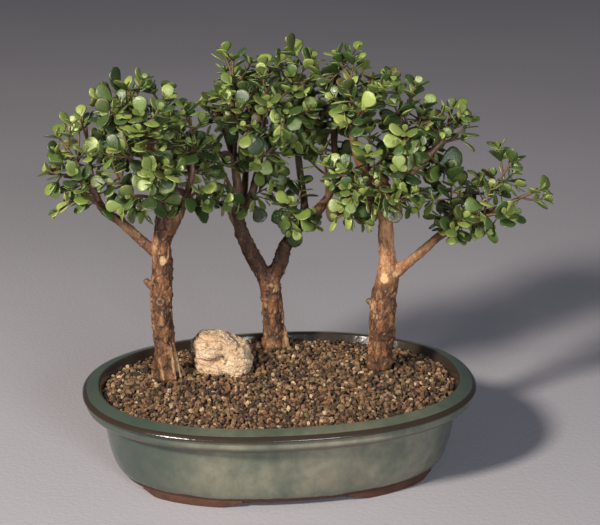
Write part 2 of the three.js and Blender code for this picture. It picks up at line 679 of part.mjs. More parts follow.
// The spray is one skin: a square stem with two rings at each pair of leaves, where a leaf or a side shoot grows
// out of a face between the rings in place of that face
function spraySolid(spray) {
  const points = [];
  const faces = [];
  const addRing = (stem, share) => {
    const { root, across, third } = stemFrame(stem, share);
    const reach = Math.SQRT2 * lerp(stem.halfWidth[0], stem.halfWidth[1], share);
    return [-45, 45, 135, 225].map((turn) => {
      const offset = across.clone().multiplyScalar(reach * Math.cos(radians(turn)));
      return points.push(root.clone().add(offset).addScaledVector(third, reach * Math.sin(radians(turn)))) - 1;
    });
  };
  const addWall = ([a, b, c, d]) => faces.push(a, b, c, a, c, d);
  const addLeaf = ([a, b, c, d], place) => {
    const stand = new THREE.Matrix4().makeBasis(place.out, place.across, place.normal).setPosition(place.root);
    const rim = bladePoints(place.length).map((point) => points.push(point.applyMatrix4(stand)) - 1);
    const top = rim.pop();
    const topEdge = [d, ...rim, c];
    topEdge.forEach((corner, index) => faces.push(top, corner, topEdge[(index + 1) % topEdge.length]));
    const tip = rim[2];
    const underEdge = [b, ...rim.toReversed(), a];
    const turned = [...underEdge.slice(underEdge.indexOf(tip)), ...underEdge.slice(0, underEdge.indexOf(tip))];
    for (let index = 1; index < turned.length - 1; index += 1) {
      faces.push(tip, turned[index], turned[index + 1]);
    }
    faces.push(rim[0], d, a, c, rim.at(-1), b);
  };
  const addStem = (stem, base) => {
    const { length } = stem.curve;
    let below = base;
    for (const [pair, share] of stem.shares.entries()) {
      const low = addRing(stem, share - leafRootHalfHeight / length);
      const high = addRing(stem, share + leafRootHalfHeight / length);
      for (let face = 0; face < 4; face += 1) {
        const next = (face + 1) % 4;
        addWall([below[face], below[next], low[next], low[face]]);
        const corners = [low[face], low[next], high[next], high[face]];
        const growth = stem.growths[pair].find((each) => each.face === face);
        if (!growth) addWall(corners);
        else if (growth.curve) addStem(growth, [...corners.slice(1), corners[0]]);
        else addLeaf(corners, growth);
      }
      below = high;
    }
    const end = stemFrame(stem, 1);
    const bud = points.push(end.root.addScaledVector(end.along, budLength)) - 1;
    for (let corner = 0; corner < 4; corner += 1) {
      faces.push(bud, below[corner], below[(corner + 1) % 4]);
    }
  };
  const base = addRing(spray, 0);
  addWall(base.toReversed());
  addStem(spray, base);
  return toSolid(new THREE.BufferGeometry().setFromPoints(points).setIndex(faces));
}

// Each tree is planned whole, so that leaves can keep clear of every limb, twig and stem of all three
function planTrees() {
  const lines = [];
  const plans = [];
  let seed = spraySeed;
  for (const [treeName, tree] of Object.entries(trees)) {
    const sprays = [];
    for (const rows of Object.values(tree.limbs)) {
      rows.slice(1).forEach((row, index) => {
        addLine(lines, [vector(rows[index]), vector(row)], Math.max(rows[index][3], row[3]), tree);
      });
    }
    for (const [limbName, tips] of Object.entries(tree.tips)) {
      for (const tip of tips) {
        seed += 1;
        const spray = planSpray(tree, limbName, tip, seed);
        sprays.push(spray);
        addLine(lines, [spray.twig.start, spray.twig.end], twigRadius[0], tree);
        addLine(lines, spray.curve.stops, stemHalfWidth[0], spray);
      }
    }
    plans.push({ treeName, tree, sprays });
  }
  const sprays = plans.flatMap((plan) => plan.sprays);
  sprays.forEach((spray) => planShoots(spray, lines));
  const discs = [];
  sprays.forEach((spray) => placeLeaves(spray, 1, spray, discs, lines));
  return plans;
}

// Trunk, limbs, cut stubs and twigs of one tree, down to the plain root that stands in the soil
function makeWood(plan) {
  const pieces = Object.entries(plan.tree.limbs).map(([limbName, rows], index) => {
    return limbSolid(rows, limbName === 'trunk' ? rootSides : limbSides, barkSeed + index);
  });
  const root = vector(plan.tree.limbs.trunk[0]);
  pieces.push(toSolid(rootPlug(root.clone().setZ(root.z + 1), 0)));
  for (const { twig } of plan.sprays) {
    pieces.push(toSolid(taperedTube([twig.start, twig.end], twigRadius, twigSides, sideOf(twig.direction(0)))));
  }
  return wasm.Manifold.union(pieces);
}

const grove = new THREE.Group();
grove.add(namedMesh('pot', makePot(), materials.glaze));
grove.add(namedMesh('drain_mesh', makeDrainMesh(), materials.mesh));
grove.add(namedMesh('soil', makeSoil(), materials.soil));
grove.add(namedMesh('gravel', makeGravel(), materials.gravel));
grove.add(namedMesh('rock', toSolid(rockShape().translate(...rockCentre)), materials.rock));
for (const plan of planTrees()) {
  grove.add(namedMesh(`tree_${plan.treeName}`, makeWood(plan), materials.bark));
  plan.sprays.forEach((spray, index) => {
    const number = String(index + 1).padStart(2, '0');
    grove.add(namedMesh(`spray_${plan.treeName}_${number}`, spraySolid(spray), materials.leaf));
  });
}

const bounds = new THREE.Box3().setFromObject(grove);
const middle = bounds.getCenter(new THREE.Vector3());
grove.position.set(-middle.x, -middle.y, -bounds.min.z);

export default grove;
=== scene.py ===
import itertools
import math

import bmesh
import bpy
import numpy as np
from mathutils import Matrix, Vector, noise


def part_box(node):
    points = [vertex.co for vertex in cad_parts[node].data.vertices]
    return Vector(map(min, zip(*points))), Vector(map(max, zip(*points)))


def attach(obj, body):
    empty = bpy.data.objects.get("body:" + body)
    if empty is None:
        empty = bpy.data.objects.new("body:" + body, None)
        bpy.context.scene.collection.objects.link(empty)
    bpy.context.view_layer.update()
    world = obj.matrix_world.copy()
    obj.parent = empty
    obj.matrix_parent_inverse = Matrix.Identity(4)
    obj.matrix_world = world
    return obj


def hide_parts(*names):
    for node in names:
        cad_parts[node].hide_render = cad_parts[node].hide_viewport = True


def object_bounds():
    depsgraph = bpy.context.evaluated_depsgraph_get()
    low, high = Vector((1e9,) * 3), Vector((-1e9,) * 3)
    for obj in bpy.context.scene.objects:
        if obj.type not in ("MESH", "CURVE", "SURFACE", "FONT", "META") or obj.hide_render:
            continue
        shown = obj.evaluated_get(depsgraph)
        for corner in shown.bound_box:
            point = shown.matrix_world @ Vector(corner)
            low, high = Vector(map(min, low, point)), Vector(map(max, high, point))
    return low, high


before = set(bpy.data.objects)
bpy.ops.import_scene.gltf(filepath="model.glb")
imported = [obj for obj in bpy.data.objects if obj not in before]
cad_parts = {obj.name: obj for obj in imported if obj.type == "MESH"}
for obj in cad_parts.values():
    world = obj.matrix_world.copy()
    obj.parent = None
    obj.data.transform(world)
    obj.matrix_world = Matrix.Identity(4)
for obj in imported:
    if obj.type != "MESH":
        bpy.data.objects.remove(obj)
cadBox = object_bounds()

# Everything is drawn in millimetres round the pot's middle, and toFrame sets it in the frame
potLow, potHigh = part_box("pot")
potMiddle = np.array([(potLow[0] + potHigh[0]) / 2, (potLow[1] + potHigh[1]) / 2, potLow[2]])
boxLow = (np.array(cadBox[0]) - potMiddle) * 1000
boxHigh = (np.array(cadBox[1]) - potMiddle) * 1000


def toFrame(points):
    return np.asarray(points, dtype=float) / 1000 + potMiddle


def lerp(a, b, share):
    return a + (b - a) * share


def unit(vector):
    return vector / math.sqrt(vector @ vector)


def ramp(values, low, high):
    share = np.clip((np.asarray(values, dtype=float) - low) / (high - low), 0, 1)
    return share * share * (3 - 2 * share)


# A repeatable run of numbers from 0 to 1
def seededRandom(seed):
    state = seed & 0xFFFFFFFF

    def draw():
        nonlocal state
        state = (state + 0x6D2B79F5) & 0xFFFFFFFF
        mixed = ((state ^ (state >> 15)) * (state | 1)) & 0xFFFFFFFF
        mixed ^= (mixed + (((mixed ^ (mixed >> 7)) * (mixed | 61)) & 0xFFFFFFFF)) & 0xFFFFFFFF
        return ((mixed ^ (mixed >> 14)) & 0xFFFFFFFF) / 4294967296

    return draw


# Meshes
def makeMesh(name, points, faces, smooth=True):
    mesh = bpy.data.meshes.new(name)
    mesh.from_pydata(toFrame(points).tolist(), [], faces)
    mesh.update()
    if smooth:
        mesh.shade_smooth()
    return mesh


def makeObject(name, mesh):
    thing = bpy.data.objects.new(name, mesh)
    bpy.context.scene.collection.objects.link(thing)
    return thing


def finishPiece(thing, materials, nodes):
    for material in materials:
        thing.data.materials.append(material)
    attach(thing, "root")
    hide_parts(*nodes)


# The mesh as its modifiers leave it, in place of the first one
def applyModifiers(thing):
    graph = bpy.context.evaluated_depsgraph_get()
    graph.update()
    made = bpy.data.meshes.new_from_object(thing.evaluated_get(graph))
    old = thing.data
    thing.modifiers.clear()
    thing.data = made
    bpy.data.meshes.remove(old)


def boolean(thing, other, operation):
    cut = thing.modifiers.new(operation, "BOOLEAN")
    cut.operation = operation
    cut.solver = "MANIFOLD"
    cut.object = other
    applyModifiers(thing)
    mesh = other.data
    bpy.data.objects.remove(other)
    bpy.data.meshes.remove(mesh)


def positions(mesh):
    values = np.empty(len(mesh.vertices) * 3)
    mesh.vertices.foreach_get("co", values)
    return (values.reshape(-1, 3) - potMiddle) * 1000


def normals(mesh):
    values = np.empty(len(mesh.vertices) * 3)
    mesh.vertices.foreach_get("normal", values)
    return values.reshape(-1, 3)


def setPositions(mesh, points):
    mesh.vertices.foreach_set("co", toFrame(points).ravel())
    mesh.update()


def setValues(mesh, name, values):
    layer = mesh.attributes.new(name, "FLOAT", "POINT")
    layer.data.foreach_set("value", np.asarray(values, dtype=np.float32))


# Faces of a closed skin over rings that lie one after another, with fans on both ends
def loftFaces(ringCount, sides, start=0):
    faces = []
    for row in range(ringCount - 1):
        for side in range(sides):
            nextSide = (side + 1) % sides
            low = start + row * sides
            high = low + sides
            faces.append((low + side, low + nextSide, high + nextSide, high + side))
    last = start + (ringCount - 1) * sides
    faces.append(tuple(start + side for side in reversed(range(sides))))
    faces.append(tuple(last + side for side in range(sides)))
    return faces


def tube(points, radii, sides, side):
    rings = []
    across = np.array(side, dtype=float)
    angles = 2 * np.pi * (np.arange(sides) + 0.5) / sides
    for index, point in enumerate(points):
        along = unit(points[min(index + 1, len(points) - 1)] - points[max(index - 1, 0)])
        across = unit(across - (across @ along) * along)
        third = np.cross(along, across)
        ring = np.outer(np.cos(angles), across) + np.outer(np.sin(angles), third)
        rings.append(point + radii[index] * ring)
    return np.concatenate(rings), loftFaces(len(points), sides)


# Many small closed shapes gathered into one mesh
class Heap:
    def __init__(self):
        self.points, self.faces, self.count = [], [], 0
        self.values = {}
        self.faceMaterials = []

    def add(self, points, faces, material=0, **values):
        self.points.append(points)
        self.faces.extend([tuple(index + self.count for index in face) for face in faces])
        self.faceMaterials.extend([material] * len(faces))
        for name, value in values.items():
            self.values.setdefault(name, []).append(np.broadcast_to(value, len(points)))
        self.count += len(points)

    def makeObject(self, name, smooth=True):
        mesh = makeMesh(name, np.concatenate(self.points), self.faces, smooth)
        for key, parts in self.values.items():
            setValues(mesh, key, np.concatenate(parts))
        mesh.polygons.foreach_set("material_index", self.faceMaterials)
        return makeObject(name, mesh)


# Materials
class NodeSheet:
    def __init__(self, tree):
        self.tree = tree
        tree.nodes.clear()

    def setInput(self, socket, value):
        if isinstance(value, bpy.types.NodeSocket):
            self.tree.links.new(value, socket)
        else:
            socket.default_value = (*value, 1) if socket.type == "RGBA" else value

    def add(self, kind, inputs=None, **settings):
        made = self.tree.nodes.new(kind)
        for name, value in settings.items():
            setattr(made, name, value)
        for name, value in (inputs or {}).items():
            self.setInput(made.inputs[name], value)
        return made

    def maths(self, operation, *values):
        return self.add("ShaderNodeMath", dict(enumerate(values)), operation=operation).outputs[0]

    def plus(self, first, second):
        return self.maths("ADD", first, second)

    def minus(self, first, second):
        return self.maths("SUBTRACT", first, second)

    def times(self, first, second):
        return self.maths("MULTIPLY", first, second)

    def mix(self, share, first, second):
        return self.add("ShaderNodeMix", {0: share, 6: first, 7: second}, data_type="RGBA").outputs[2]

    # Lays a shade over a colour where the mask shows, at most at the given strength
    def tint(self, colour, mask, strength, shade):
        return self.mix(self.times(mask, strength), colour, shade)

    def span(self, value, low, high, toLow=0.0, toHigh=1.0):
        inputs = {"Value": value, "From Min": low, "From Max": high, "To Min": toLow, "To Max": toHigh}
        return self.add("ShaderNodeMapRange", inputs, interpolation_type="SMOOTHSTEP").outputs[0]

    def ramp(self, share, stops):
        made = self.add("ShaderNodeValToRGB", {"Fac": share})
        while len(made.color_ramp.elements) < len(stops):
            made.color_ramp.elements.new(0.5)
        for element, (place, colour) in zip(made.color_ramp.elements, stops):
            element.position = place
            element.color = (*colour, 1)
        return made.outputs[0]

    def attribute(self, name):
        return self.add("ShaderNodeAttribute", attribute_name=name).outputs["Fac"]

    def stretch(self, vector, upright):
        return self.add("ShaderNodeMapping", {"Vector": vector, "Scale": (1, 1, upright)}).outputs[0]

    def group(self, tree, **inputs):
        return self.add("ShaderNodeGroup", inputs, node_tree=tree).outputs[0]

    def grain(self, vector, scale, detail, low=0.3, high=0.7):
        return self.group(grainGroup, Vector=vector, Scale=scale, Detail=detail, Low=low, High=high)

    def specks(self, vector, scale, size):
        return self.group(speckGroup, Vector=vector, Scale=scale, Size=size)


# A node group with number inputs that have a value, and a vector input first where one is asked for
def newGroup(name, inputs, output, vector=True):
    tree = bpy.data.node_groups.new(name, "ShaderNodeTree")
    sheet = NodeSheet(tree)
    if vector:
        tree.interface.new_socket("Vector", in_out="INPUT", socket_type="NodeSocketVector")
    for label, value in inputs.items():
        socket = tree.interface.new_socket(label, in_out="INPUT", socket_type="NodeSocketFloat")
        socket.default_value = value
    tree.interface.new_socket(output, in_out="OUTPUT", socket_type="NodeSocketFloat")
    return tree, sheet, sheet.add("NodeGroupInput").outputs


# Soft uneven variation, used for dirt, tint and fine relief
def makeGrainGroup():
    tree, sheet, given = newGroup("grain", {"Scale": 100.0, "Detail": 4.0, "Low": 0.3, "High": 0.7}, "Value")
    clouds = sheet.add("ShaderNodeTexNoise", {
        "Vector": given["Vector"], "Scale": given["Scale"], "Detail": given["Detail"], "Roughness": 0.6,
    })
    sheet.add("NodeGroupOutput", {"Value": sheet.span(clouds.outputs[0], given["Low"], given["High"])})
    return tree


# Small round pits or specks where the cells' middles lie
def makeSpeckGroup():
    tree, sheet, given = newGroup("specks", {"Scale": 200.0, "Size": 0.2}, "Mask")
    cells = sheet.add("ShaderNodeTexVoronoi", {"Vector": given["Vector"], "Scale": given["Scale"]})
    sheet.add("NodeGroupOutput", {"Mask": sheet.span(cells.outputs["Distance"], given["Size"], 0.0)})
    return tree


# A level band that wavers, such as a hollow where glaze lies thin
def makeBandGroup():
    inputs = {"Height": 0.0, "Waver": 0.0, "Middle": 0.0, "Half Width": 0.001, "Reach": 0.001}
    tree, sheet, given = newGroup("levelBand", inputs, "Mask", vector=False)
    wave = sheet.times(sheet.minus(given["Waver"], 0.5), given["Reach"])
    offset = sheet.minus(sheet.plus(given["Height"], wave), given["Middle"])
    away = sheet.maths("DIVIDE", sheet.maths("ABSOLUTE", offset), given["Half Width"])
    sheet.add("NodeGroupOutput", {"Mask": sheet.span(away, 1.0, 0.35)})
    return tree


grainGroup = makeGrainGroup()
speckGroup = makeSpeckGroup()
bandGroup = makeBandGroup()


def newMaterial(name):
    material = bpy.data.materials.new(name)
    material.use_nodes = True
    sheet = NodeSheet(material.node_tree)
    place = sheet.add("ShaderNodeTexCoord").outputs["Object"]
    return material, sheet, place


def closeMaterial(sheet, colour, roughness, height, relief, **constants):
    bump = sheet.add("ShaderNodeBump", {"Height": height, "Strength": 1.0, "Distance": relief})
    inputs = {"Base Color": colour, "Normal": bump.outputs[0], "Roughness": roughness}
    inputs.update({label.replace("_", " "): value for label, value in constants.items()})
    shader = sheet.add("ShaderNodeBsdfPrincipled", inputs)
    sheet.add("ShaderNodeOutputMaterial", {"Surface": shader.outputs[0]})


# In every look, a grain is a scale, its detail and, where given, the low and high end that it is cut to,
# and specks are a scale and a size. A share is how strongly a colour is laid over the others.
glazeLook = {
    "green": (0.084, 0.100, 0.070), "greyGreen": (0.205, 0.190, 0.134), "brown": (0.026, 0.017, 0.011),
    "poolAndEndShade": (0.030, 0.048, 0.042), "poolShare": 0.45, "haze": (0.15, 0.116, 0.084), "hazeShare": 0.4,
    # towards both ends the wall is painted darker, as painted shade: the distances from the middle, and the
    # strengths there
    "ends": (0.05, 0.112, 0.0, 0.85),
    # the rim's top is greener: from and to which height, from and to which strength
    "top": (0.0532, 0.0552, 0.0, 0.5), "topGreen": (0.046, 0.064, 0.044),
    # the thinly glazed hollow under the rim
    "hollow": (0.105, 0.074, 0.052), "hollowShare": 0.75, "hollowMiddle": 0.0455, "hollowHalf": 0.0034,
    "hollowWaver": 0.0018,
    # brown glaze where it runs thin over the rim's edge, and painted shade, partly thin dark glaze, on the
    # rim's inner face
    "thinAndShadeWaver": 0.4, "thinAndShadeSpan": (0.3, 0.75), "thinAndShadeShare": 0.95,
    # bare clay below the glaze: height of the line between them, half its softness, how far it wavers
    "clay": (0.078, 0.027, 0.013), "clayDark": 0.55, "clayEdge": 0.0068, "claySoft": 0.0004,
    "clayWaver": 0.0022,
    # the grains, and how much the broad one is drawn out upright
    "stretch": 0.35, "broadGrain": (36, 4, 0.25, 0.7), "midGrain": (120, 5, 0.3, 0.75), "fineGrain": (900, 3),
    "hazeGrain": (34, 4, 0.5, 0.72), "waverGrain": (45, 4, 0.2, 0.8), "specks": (420, 0.16),
    "speckShare": 0.3, "roughness": (0.17, 0.85), "roughnessPlay": 0.06,
    # relief: how much comes from the broad and middling grain, the clay's step, and its grit
    "broadRelief": 0.5, "midRelief": 0.2, "clayRelief": 0.5, "gritRelief": 0.5, "relief": 0.0004,
}


def makeGlaze():
    look = glazeLook
    material, sheet, place = newMaterial("tealGlaze")
    sideways, _, height = sheet.add("ShaderNodeSeparateXYZ", {0: place}).outputs
    broad = sheet.grain(sheet.stretch(place, look["stretch"]), *look["broadGrain"])
    middling = sheet.grain(place, *look["midGrain"])
    fine = sheet.grain(place, *look["fineGrain"])
    colour = sheet.mix(broad, look["green"], look["greyGreen"])
    colour = sheet.tint(colour, middling, look["poolShare"], look["poolAndEndShade"])
    colour = sheet.tint(colour, sheet.grain(place, *look["hazeGrain"]), look["hazeShare"], look["haze"])
    # painted shade: the wall turns darker towards both ends, in the pooled glaze's colour
    colour = sheet.mix(sheet.span(sheet.maths("ABSOLUTE", sideways), *look["ends"]), colour, look["poolAndEndShade"])
    colour = sheet.mix(sheet.span(height, *look["top"]), colour, look["topGreen"])
    colour = sheet.tint(colour, sheet.specks(place, *look["specks"]), look["speckShare"], look["brown"])
    waver = sheet.grain(place, *look["waverGrain"])
    band = sheet.group(bandGroup, **{
        "Height": height, "Waver": waver, "Middle": look["hollowMiddle"], "Half Width": look["hollowHalf"],
        "Reach": look["hollowWaver"],
    })
    colour = sheet.tint(colour, band, look["hollowShare"], look["hollow"])
    uneven = sheet.minus(waver, 0.5)
    # brown where the glaze runs thin on the rim's edge, and painted shade, partly thin dark glaze, on its
    # inner face
    thin = sheet.plus(sheet.attribute("edge"), sheet.times(uneven, look["thinAndShadeWaver"]))
    colour = sheet.tint(colour, sheet.span(thin, *look["thinAndShadeSpan"]), look["thinAndShadeShare"], look["brown"])
    edge = sheet.plus(height, sheet.times(uneven, look["clayWaver"]))
    clay = sheet.span(edge, look["clayEdge"] + look["claySoft"], look["clayEdge"] - look["claySoft"])
    darkClay = tuple(look["clayDark"] * value for value in look["clay"])
    colour = sheet.mix(clay, colour, sheet.mix(middling, look["clay"], darkClay))
    roughness = sheet.plus(sheet.span(clay, 0.0, 1.0, *look["roughness"]),
                           sheet.times(middling, look["roughnessPlay"]))
    relief = sheet.plus(sheet.times(broad, look["broadRelief"]), sheet.times(middling, look["midRelief"]))
    grit = sheet.times(sheet.times(fine, clay), look["gritRelief"])
    relief = sheet.plus(sheet.minus(relief, sheet.times(clay, look["clayRelief"])), grit)
    closeMaterial(sheet, colour, roughness, relief, look["relief"])
    return material


# Materials that only waver between two colours over a fine relief, of grain or of crumbs
plainLooks = {
    "bareClay": {"colours": ((0.17, 0.07, 0.04), (0.10, 0.045, 0.03)), "grain": (60, 4),
                 "fineGrain": (900, 3), "roughness": 0.88, "relief": 0.0003},
    # painted shade: the bed seen in the gaps between the stones is nearly black
    "shadedGravelBed": {"colours": ((0.012, 0.008, 0.005), (0.035, 0.023, 0.014)), "grain": (90, 5),
                   "fineGrain": (800, 4), "roughness": 0.95, "relief": 0.001},
    "darkSoil": {"colours": ((0.018, 0.011, 0.008), (0.06, 0.036, 0.022)), "grain": (70, 6),
                 "crumbs": (300, 0.6), "roughness": 0.95, "relief": 0.001},
    "meshPlastic": {"colours": ((0.012, 0.014, 0.016), (0.022, 0.025, 0.028)), "grain": (600, 2),
                    "fineGrain": (600, 2), "roughness": 0.55, "relief": 0.0001},
    "greenStem": {"colours": ((0.10, 0.038, 0.022), (0.12, 0.085, 0.03)), "grain": (160, 4),
                  "fineGrain": (1100, 3), "roughness": 0.45, "relief": 0.0002},
    "paleFloor": {"colours": ((0.335, 0.32, 0.34), (0.36, 0.345, 0.365)), "grain": (1.5, 2),
                  "fineGrain": (300, 3), "roughness": 0.75, "relief": 0.0001},
}


def makePlain(name):
    look = plainLooks[name]
    material, sheet, place = newMaterial(name)
    if "crumbs" in look:
        fine = sheet.specks(place, *look["crumbs"])
    else:
        fine = sheet.grain(place, *look["fineGrain"])
    colour = sheet.mix(sheet.grain(place, *look["grain"]), *look["colours"])
    closeMaterial(sheet, colour, look["roughness"], fine, look["relief"])
    return material


stoneLook = {
    # by stone: dark, browns, rust, tan, olive brown, pale
    "stones": [(0.0, (0.014, 0.008, 0.004)), (0.2, (0.035, 0.018, 0.008)), (0.38, (0.125, 0.066, 0.028)),
               (0.54, (0.23, 0.125, 0.056)), (0.66, (0.22, 0.092, 0.034)), (0.78, (0.35, 0.205, 0.10)),
               (0.88, (0.17, 0.115, 0.05)), (1.0, (0.74, 0.50, 0.28))],
    "fineGrain": (700, 4), "shade": (0.05, 0.028, 0.016), "shadeShare": 0.45,
    "broadGrain": (16, 3, 0.35, 0.65), "drift": (0.09, 0.048, 0.026), "driftShare": 0.2,
    "pits": (900, 0.3), "pitDepth": 0.6, "roughness": 0.82, "relief": 0.0005,
}


def makeStone():
    look = stoneLook
    material, sheet, place = newMaterial("gravelStone")
    fine = sheet.grain(place, *look["fineGrain"])
    colour = sheet.ramp(sheet.attribute("stoneTone"), look["stones"])
    colour = sheet.tint(colour, fine, look["shadeShare"], look["shade"])
    colour = sheet.tint(colour, sheet.grain(place, *look["broadGrain"]), look["driftShare"], look["drift"])
    relief = sheet.minus(fine, sheet.times(sheet.specks(place, *look["pits"]), look["pitDepth"]))
    closeMaterial(sheet, colour, look["roughness"], relief, look["relief"])
    return material


rockLook = {
    "cream": (0.74, 0.56, 0.36), "ochre": (0.56, 0.36, 0.20), "redPatch": (0.46, 0.17, 0.10), "redPatchShare": 0.8,
    # hollow is partly the rock's dark joints and brown pits and partly painted shade in its hollows
    "grime": (0.42, 0.29, 0.19), "grimeShare": 0.25, "hollow": (0.17, 0.10, 0.06), "hollowShare": 0.85,
    "broadGrain": (95, 5, 0.35, 0.65), "fineGrain": (750, 4), "pits": (420, 0.28), "pitDepth": 0.8,
    "roughness": 0.9, "relief": 0.0005,
}


def makeRockSkin():
    look = rockLook
    material, sheet, place = newMaterial("creamRock")
    fine = sheet.grain(place, *look["fineGrain"])
    colour = sheet.mix(sheet.grain(place, *look["broadGrain"]), look["cream"], look["ochre"])
    # a reddish patch on the rock's left front
    colour = sheet.tint(colour, sheet.attribute("redPatch"), look["redPatchShare"], look["redPatch"])
    colour = sheet.tint(colour, fine, look["grimeShare"], look["grime"])
    # painted shade in the hollows, over the rock's dark joints and brown pits
    colour = sheet.tint(colour, sheet.attribute("cavityAndShade"), look["hollowShare"], look["hollow"])
    relief = sheet.minus(fine, sheet.times(sheet.specks(place, *look["pits"]), look["pitDepth"]))
    closeMaterial(sheet, colour, look["roughness"], relief, look["relief"])
    return material


barkLook = {
    # by plate: dark brown, mid brown, rust, tan
    "plates": [(0.0, (0.045, 0.018, 0.007)), (0.35, (0.118, 0.047, 0.017)), (0.6, (0.215, 0.078, 0.024)),
               (0.82, (0.29, 0.142, 0.056)), (1.0, (0.44, 0.26, 0.115))],
    "plateTone": 0.6, "flakeTone": 0.55, "toneDrop": 0.1,
    # crack is also the colour of the painted shade on the upper limbs of the left and centre trees
    "pale": (0.58, 0.37, 0.18), "paleShare": 0.85, "crack": (0.018, 0.008, 0.004),
    "twig": (0.12, 0.05, 0.021), "greenTwig": (0.105, 0.07, 0.024),
    # the smooth bark colour is partly smooth young bark and partly painted light on the right tree's upper
    # trunk
    "smooth": (0.55, 0.29, 0.14), "smoothAndLitShare": 0.8, "smoothDots": 0.6,
    "stretch": 0.4, "flakes": (230, 5, 0.38, 0.62), "broadGrain": (48, 4, 0.35, 0.65), "broadShare": 0.45,
    "fineGrain": (900, 5), "fineShare": 0.35, "dots": (330, 0.34), "dotShare": 0.4,
    # roughness and strength of the relief, of young and of old bark
    "roughness": (0.42, 0.7), "youngRelief": 0.25, "oldRelief": 0.75, "flakeRelief": 0.6, "fineRelief": 0.5,
    "relief": 0.0006,
}


def makeBark():
    look = barkLook
    material, sheet, place = newMaterial("flakingBark")
    age = sheet.attribute("age")
    darkBrown, midBrown, rust = (look["plates"][index][1] for index in range(3))
    upright = sheet.stretch(place, look["stretch"])
    flakes = sheet.grain(upright, *look["flakes"])
    broad = sheet.grain(place, *look["broadGrain"])
    fine = sheet.grain(upright, *look["fineGrain"])
    dots = sheet.specks(place, *look["dots"])
    tone = sheet.plus(sheet.times(sheet.attribute("plate"), look["plateTone"]),
                      sheet.times(flakes, look["flakeTone"]))
    colour = sheet.ramp(sheet.minus(tone, look["toneDrop"]), look["plates"])
    colour = sheet.tint(colour, broad, look["broadShare"], midBrown)
    colour = sheet.tint(colour, fine, look["fineShare"], darkBrown)
    colour = sheet.tint(colour, dots, look["dotShare"], look["pale"])
    # cracks and knot hearts, and painted shade on the upper limbs of the left and centre trees
    colour = sheet.mix(sheet.attribute("cavityAndShade"), colour, look["crack"])
    colour = sheet.mix(age, sheet.mix(broad, look["twig"], look["greenTwig"]), colour)
    # painted light on the right tree's upper trunk, along with its smooth young bark
    smooth = sheet.tint(sheet.mix(flakes, look["smooth"], rust), dots, look["smoothDots"], look["pale"])
    colour = sheet.tint(colour, sheet.attribute("young"), look["smoothAndLitShare"], smooth)
    colour = sheet.tint(colour, sheet.attribute("pale"), look["paleShare"], look["pale"])
    relief = sheet.plus(sheet.times(flakes, look["flakeRelief"]), sheet.times(fine, look["fineRelief"]))
    relief = sheet.times(relief, sheet.plus(sheet.times(age, look["oldRelief"]), look["youngRelief"]))
    closeMaterial(sheet, colour, sheet.span(age, 0.0, 1.0, *look["roughness"]), relief, look["relief"])
    return material


leafLook = {
    # by leaf: a few brown ones, dark to light green
    "leaves": [(0.0, (0.07, 0.022, 0.018)), (0.045, (0.012, 0.026, 0.009)), (0.4, (0.044, 0.084, 0.020)),
               (0.75, (0.145, 0.205, 0.042)), (1.0, (0.33, 0.40, 0.10))],
    "young": (0.22, 0.28, 0.06), "youngShare": 0.55, "mottle": (0.05, 0.08, 0.018), "mottleShare": 0.3,
    # the reddish rim shows on young leaves: from and to which youth, from and to which strength
    "rim": (0.16, 0.05, 0.025), "rimSpan": (0.1, 0.6, 0.04, 0.4),
    "broadGrain": (150, 3), "fineGrain": (1400, 2), "roughness": 0.24, "roughnessPlay": 0.12,
    "relief": 0.0001, "glow": 0.1, "glowDepth": 0.003, "shine": 0.6,
}


def makeLeafSkin():
    look = leafLook
    material, sheet, place = newMaterial("leafSkin")
    young = sheet.attribute("young")
    broad = sheet.grain(place, *look["broadGrain"])
    colour = sheet.ramp(sheet.attribute("tone"), look["leaves"])
    colour = sheet.tint(colour, young, look["youngShare"], look["young"])
    colour = sheet.tint(colour, broad, look["mottleShare"], look["mottle"])
    red = sheet.times(sheet.attribute("rim"), sheet.span(young, *look["rimSpan"]))
    colour = sheet.mix(red, colour, look["rim"])
    roughness = sheet.plus(sheet.times(broad, look["roughnessPlay"]), look["roughness"])
    closeMaterial(sheet, colour, roughness, sheet.grain(place, *look["fineGrain"]), look["relief"],
                  Subsurface_Weight=look["glow"], Subsurface_Scale=look["glowDepth"],
                  Specular_IOR_Level=look["shine"])
    return material


glaze, stone, rockSkin, bark, leafSkin = makeGlaze(), makeStone(), makeRockSkin(), makeBark(), makeLeafSkin()
bareClay, gravelBedShade, soilLook, plastic, greenStem, paleFloor = (makePlain(name) for name in plainLooks)
print("materials ready")

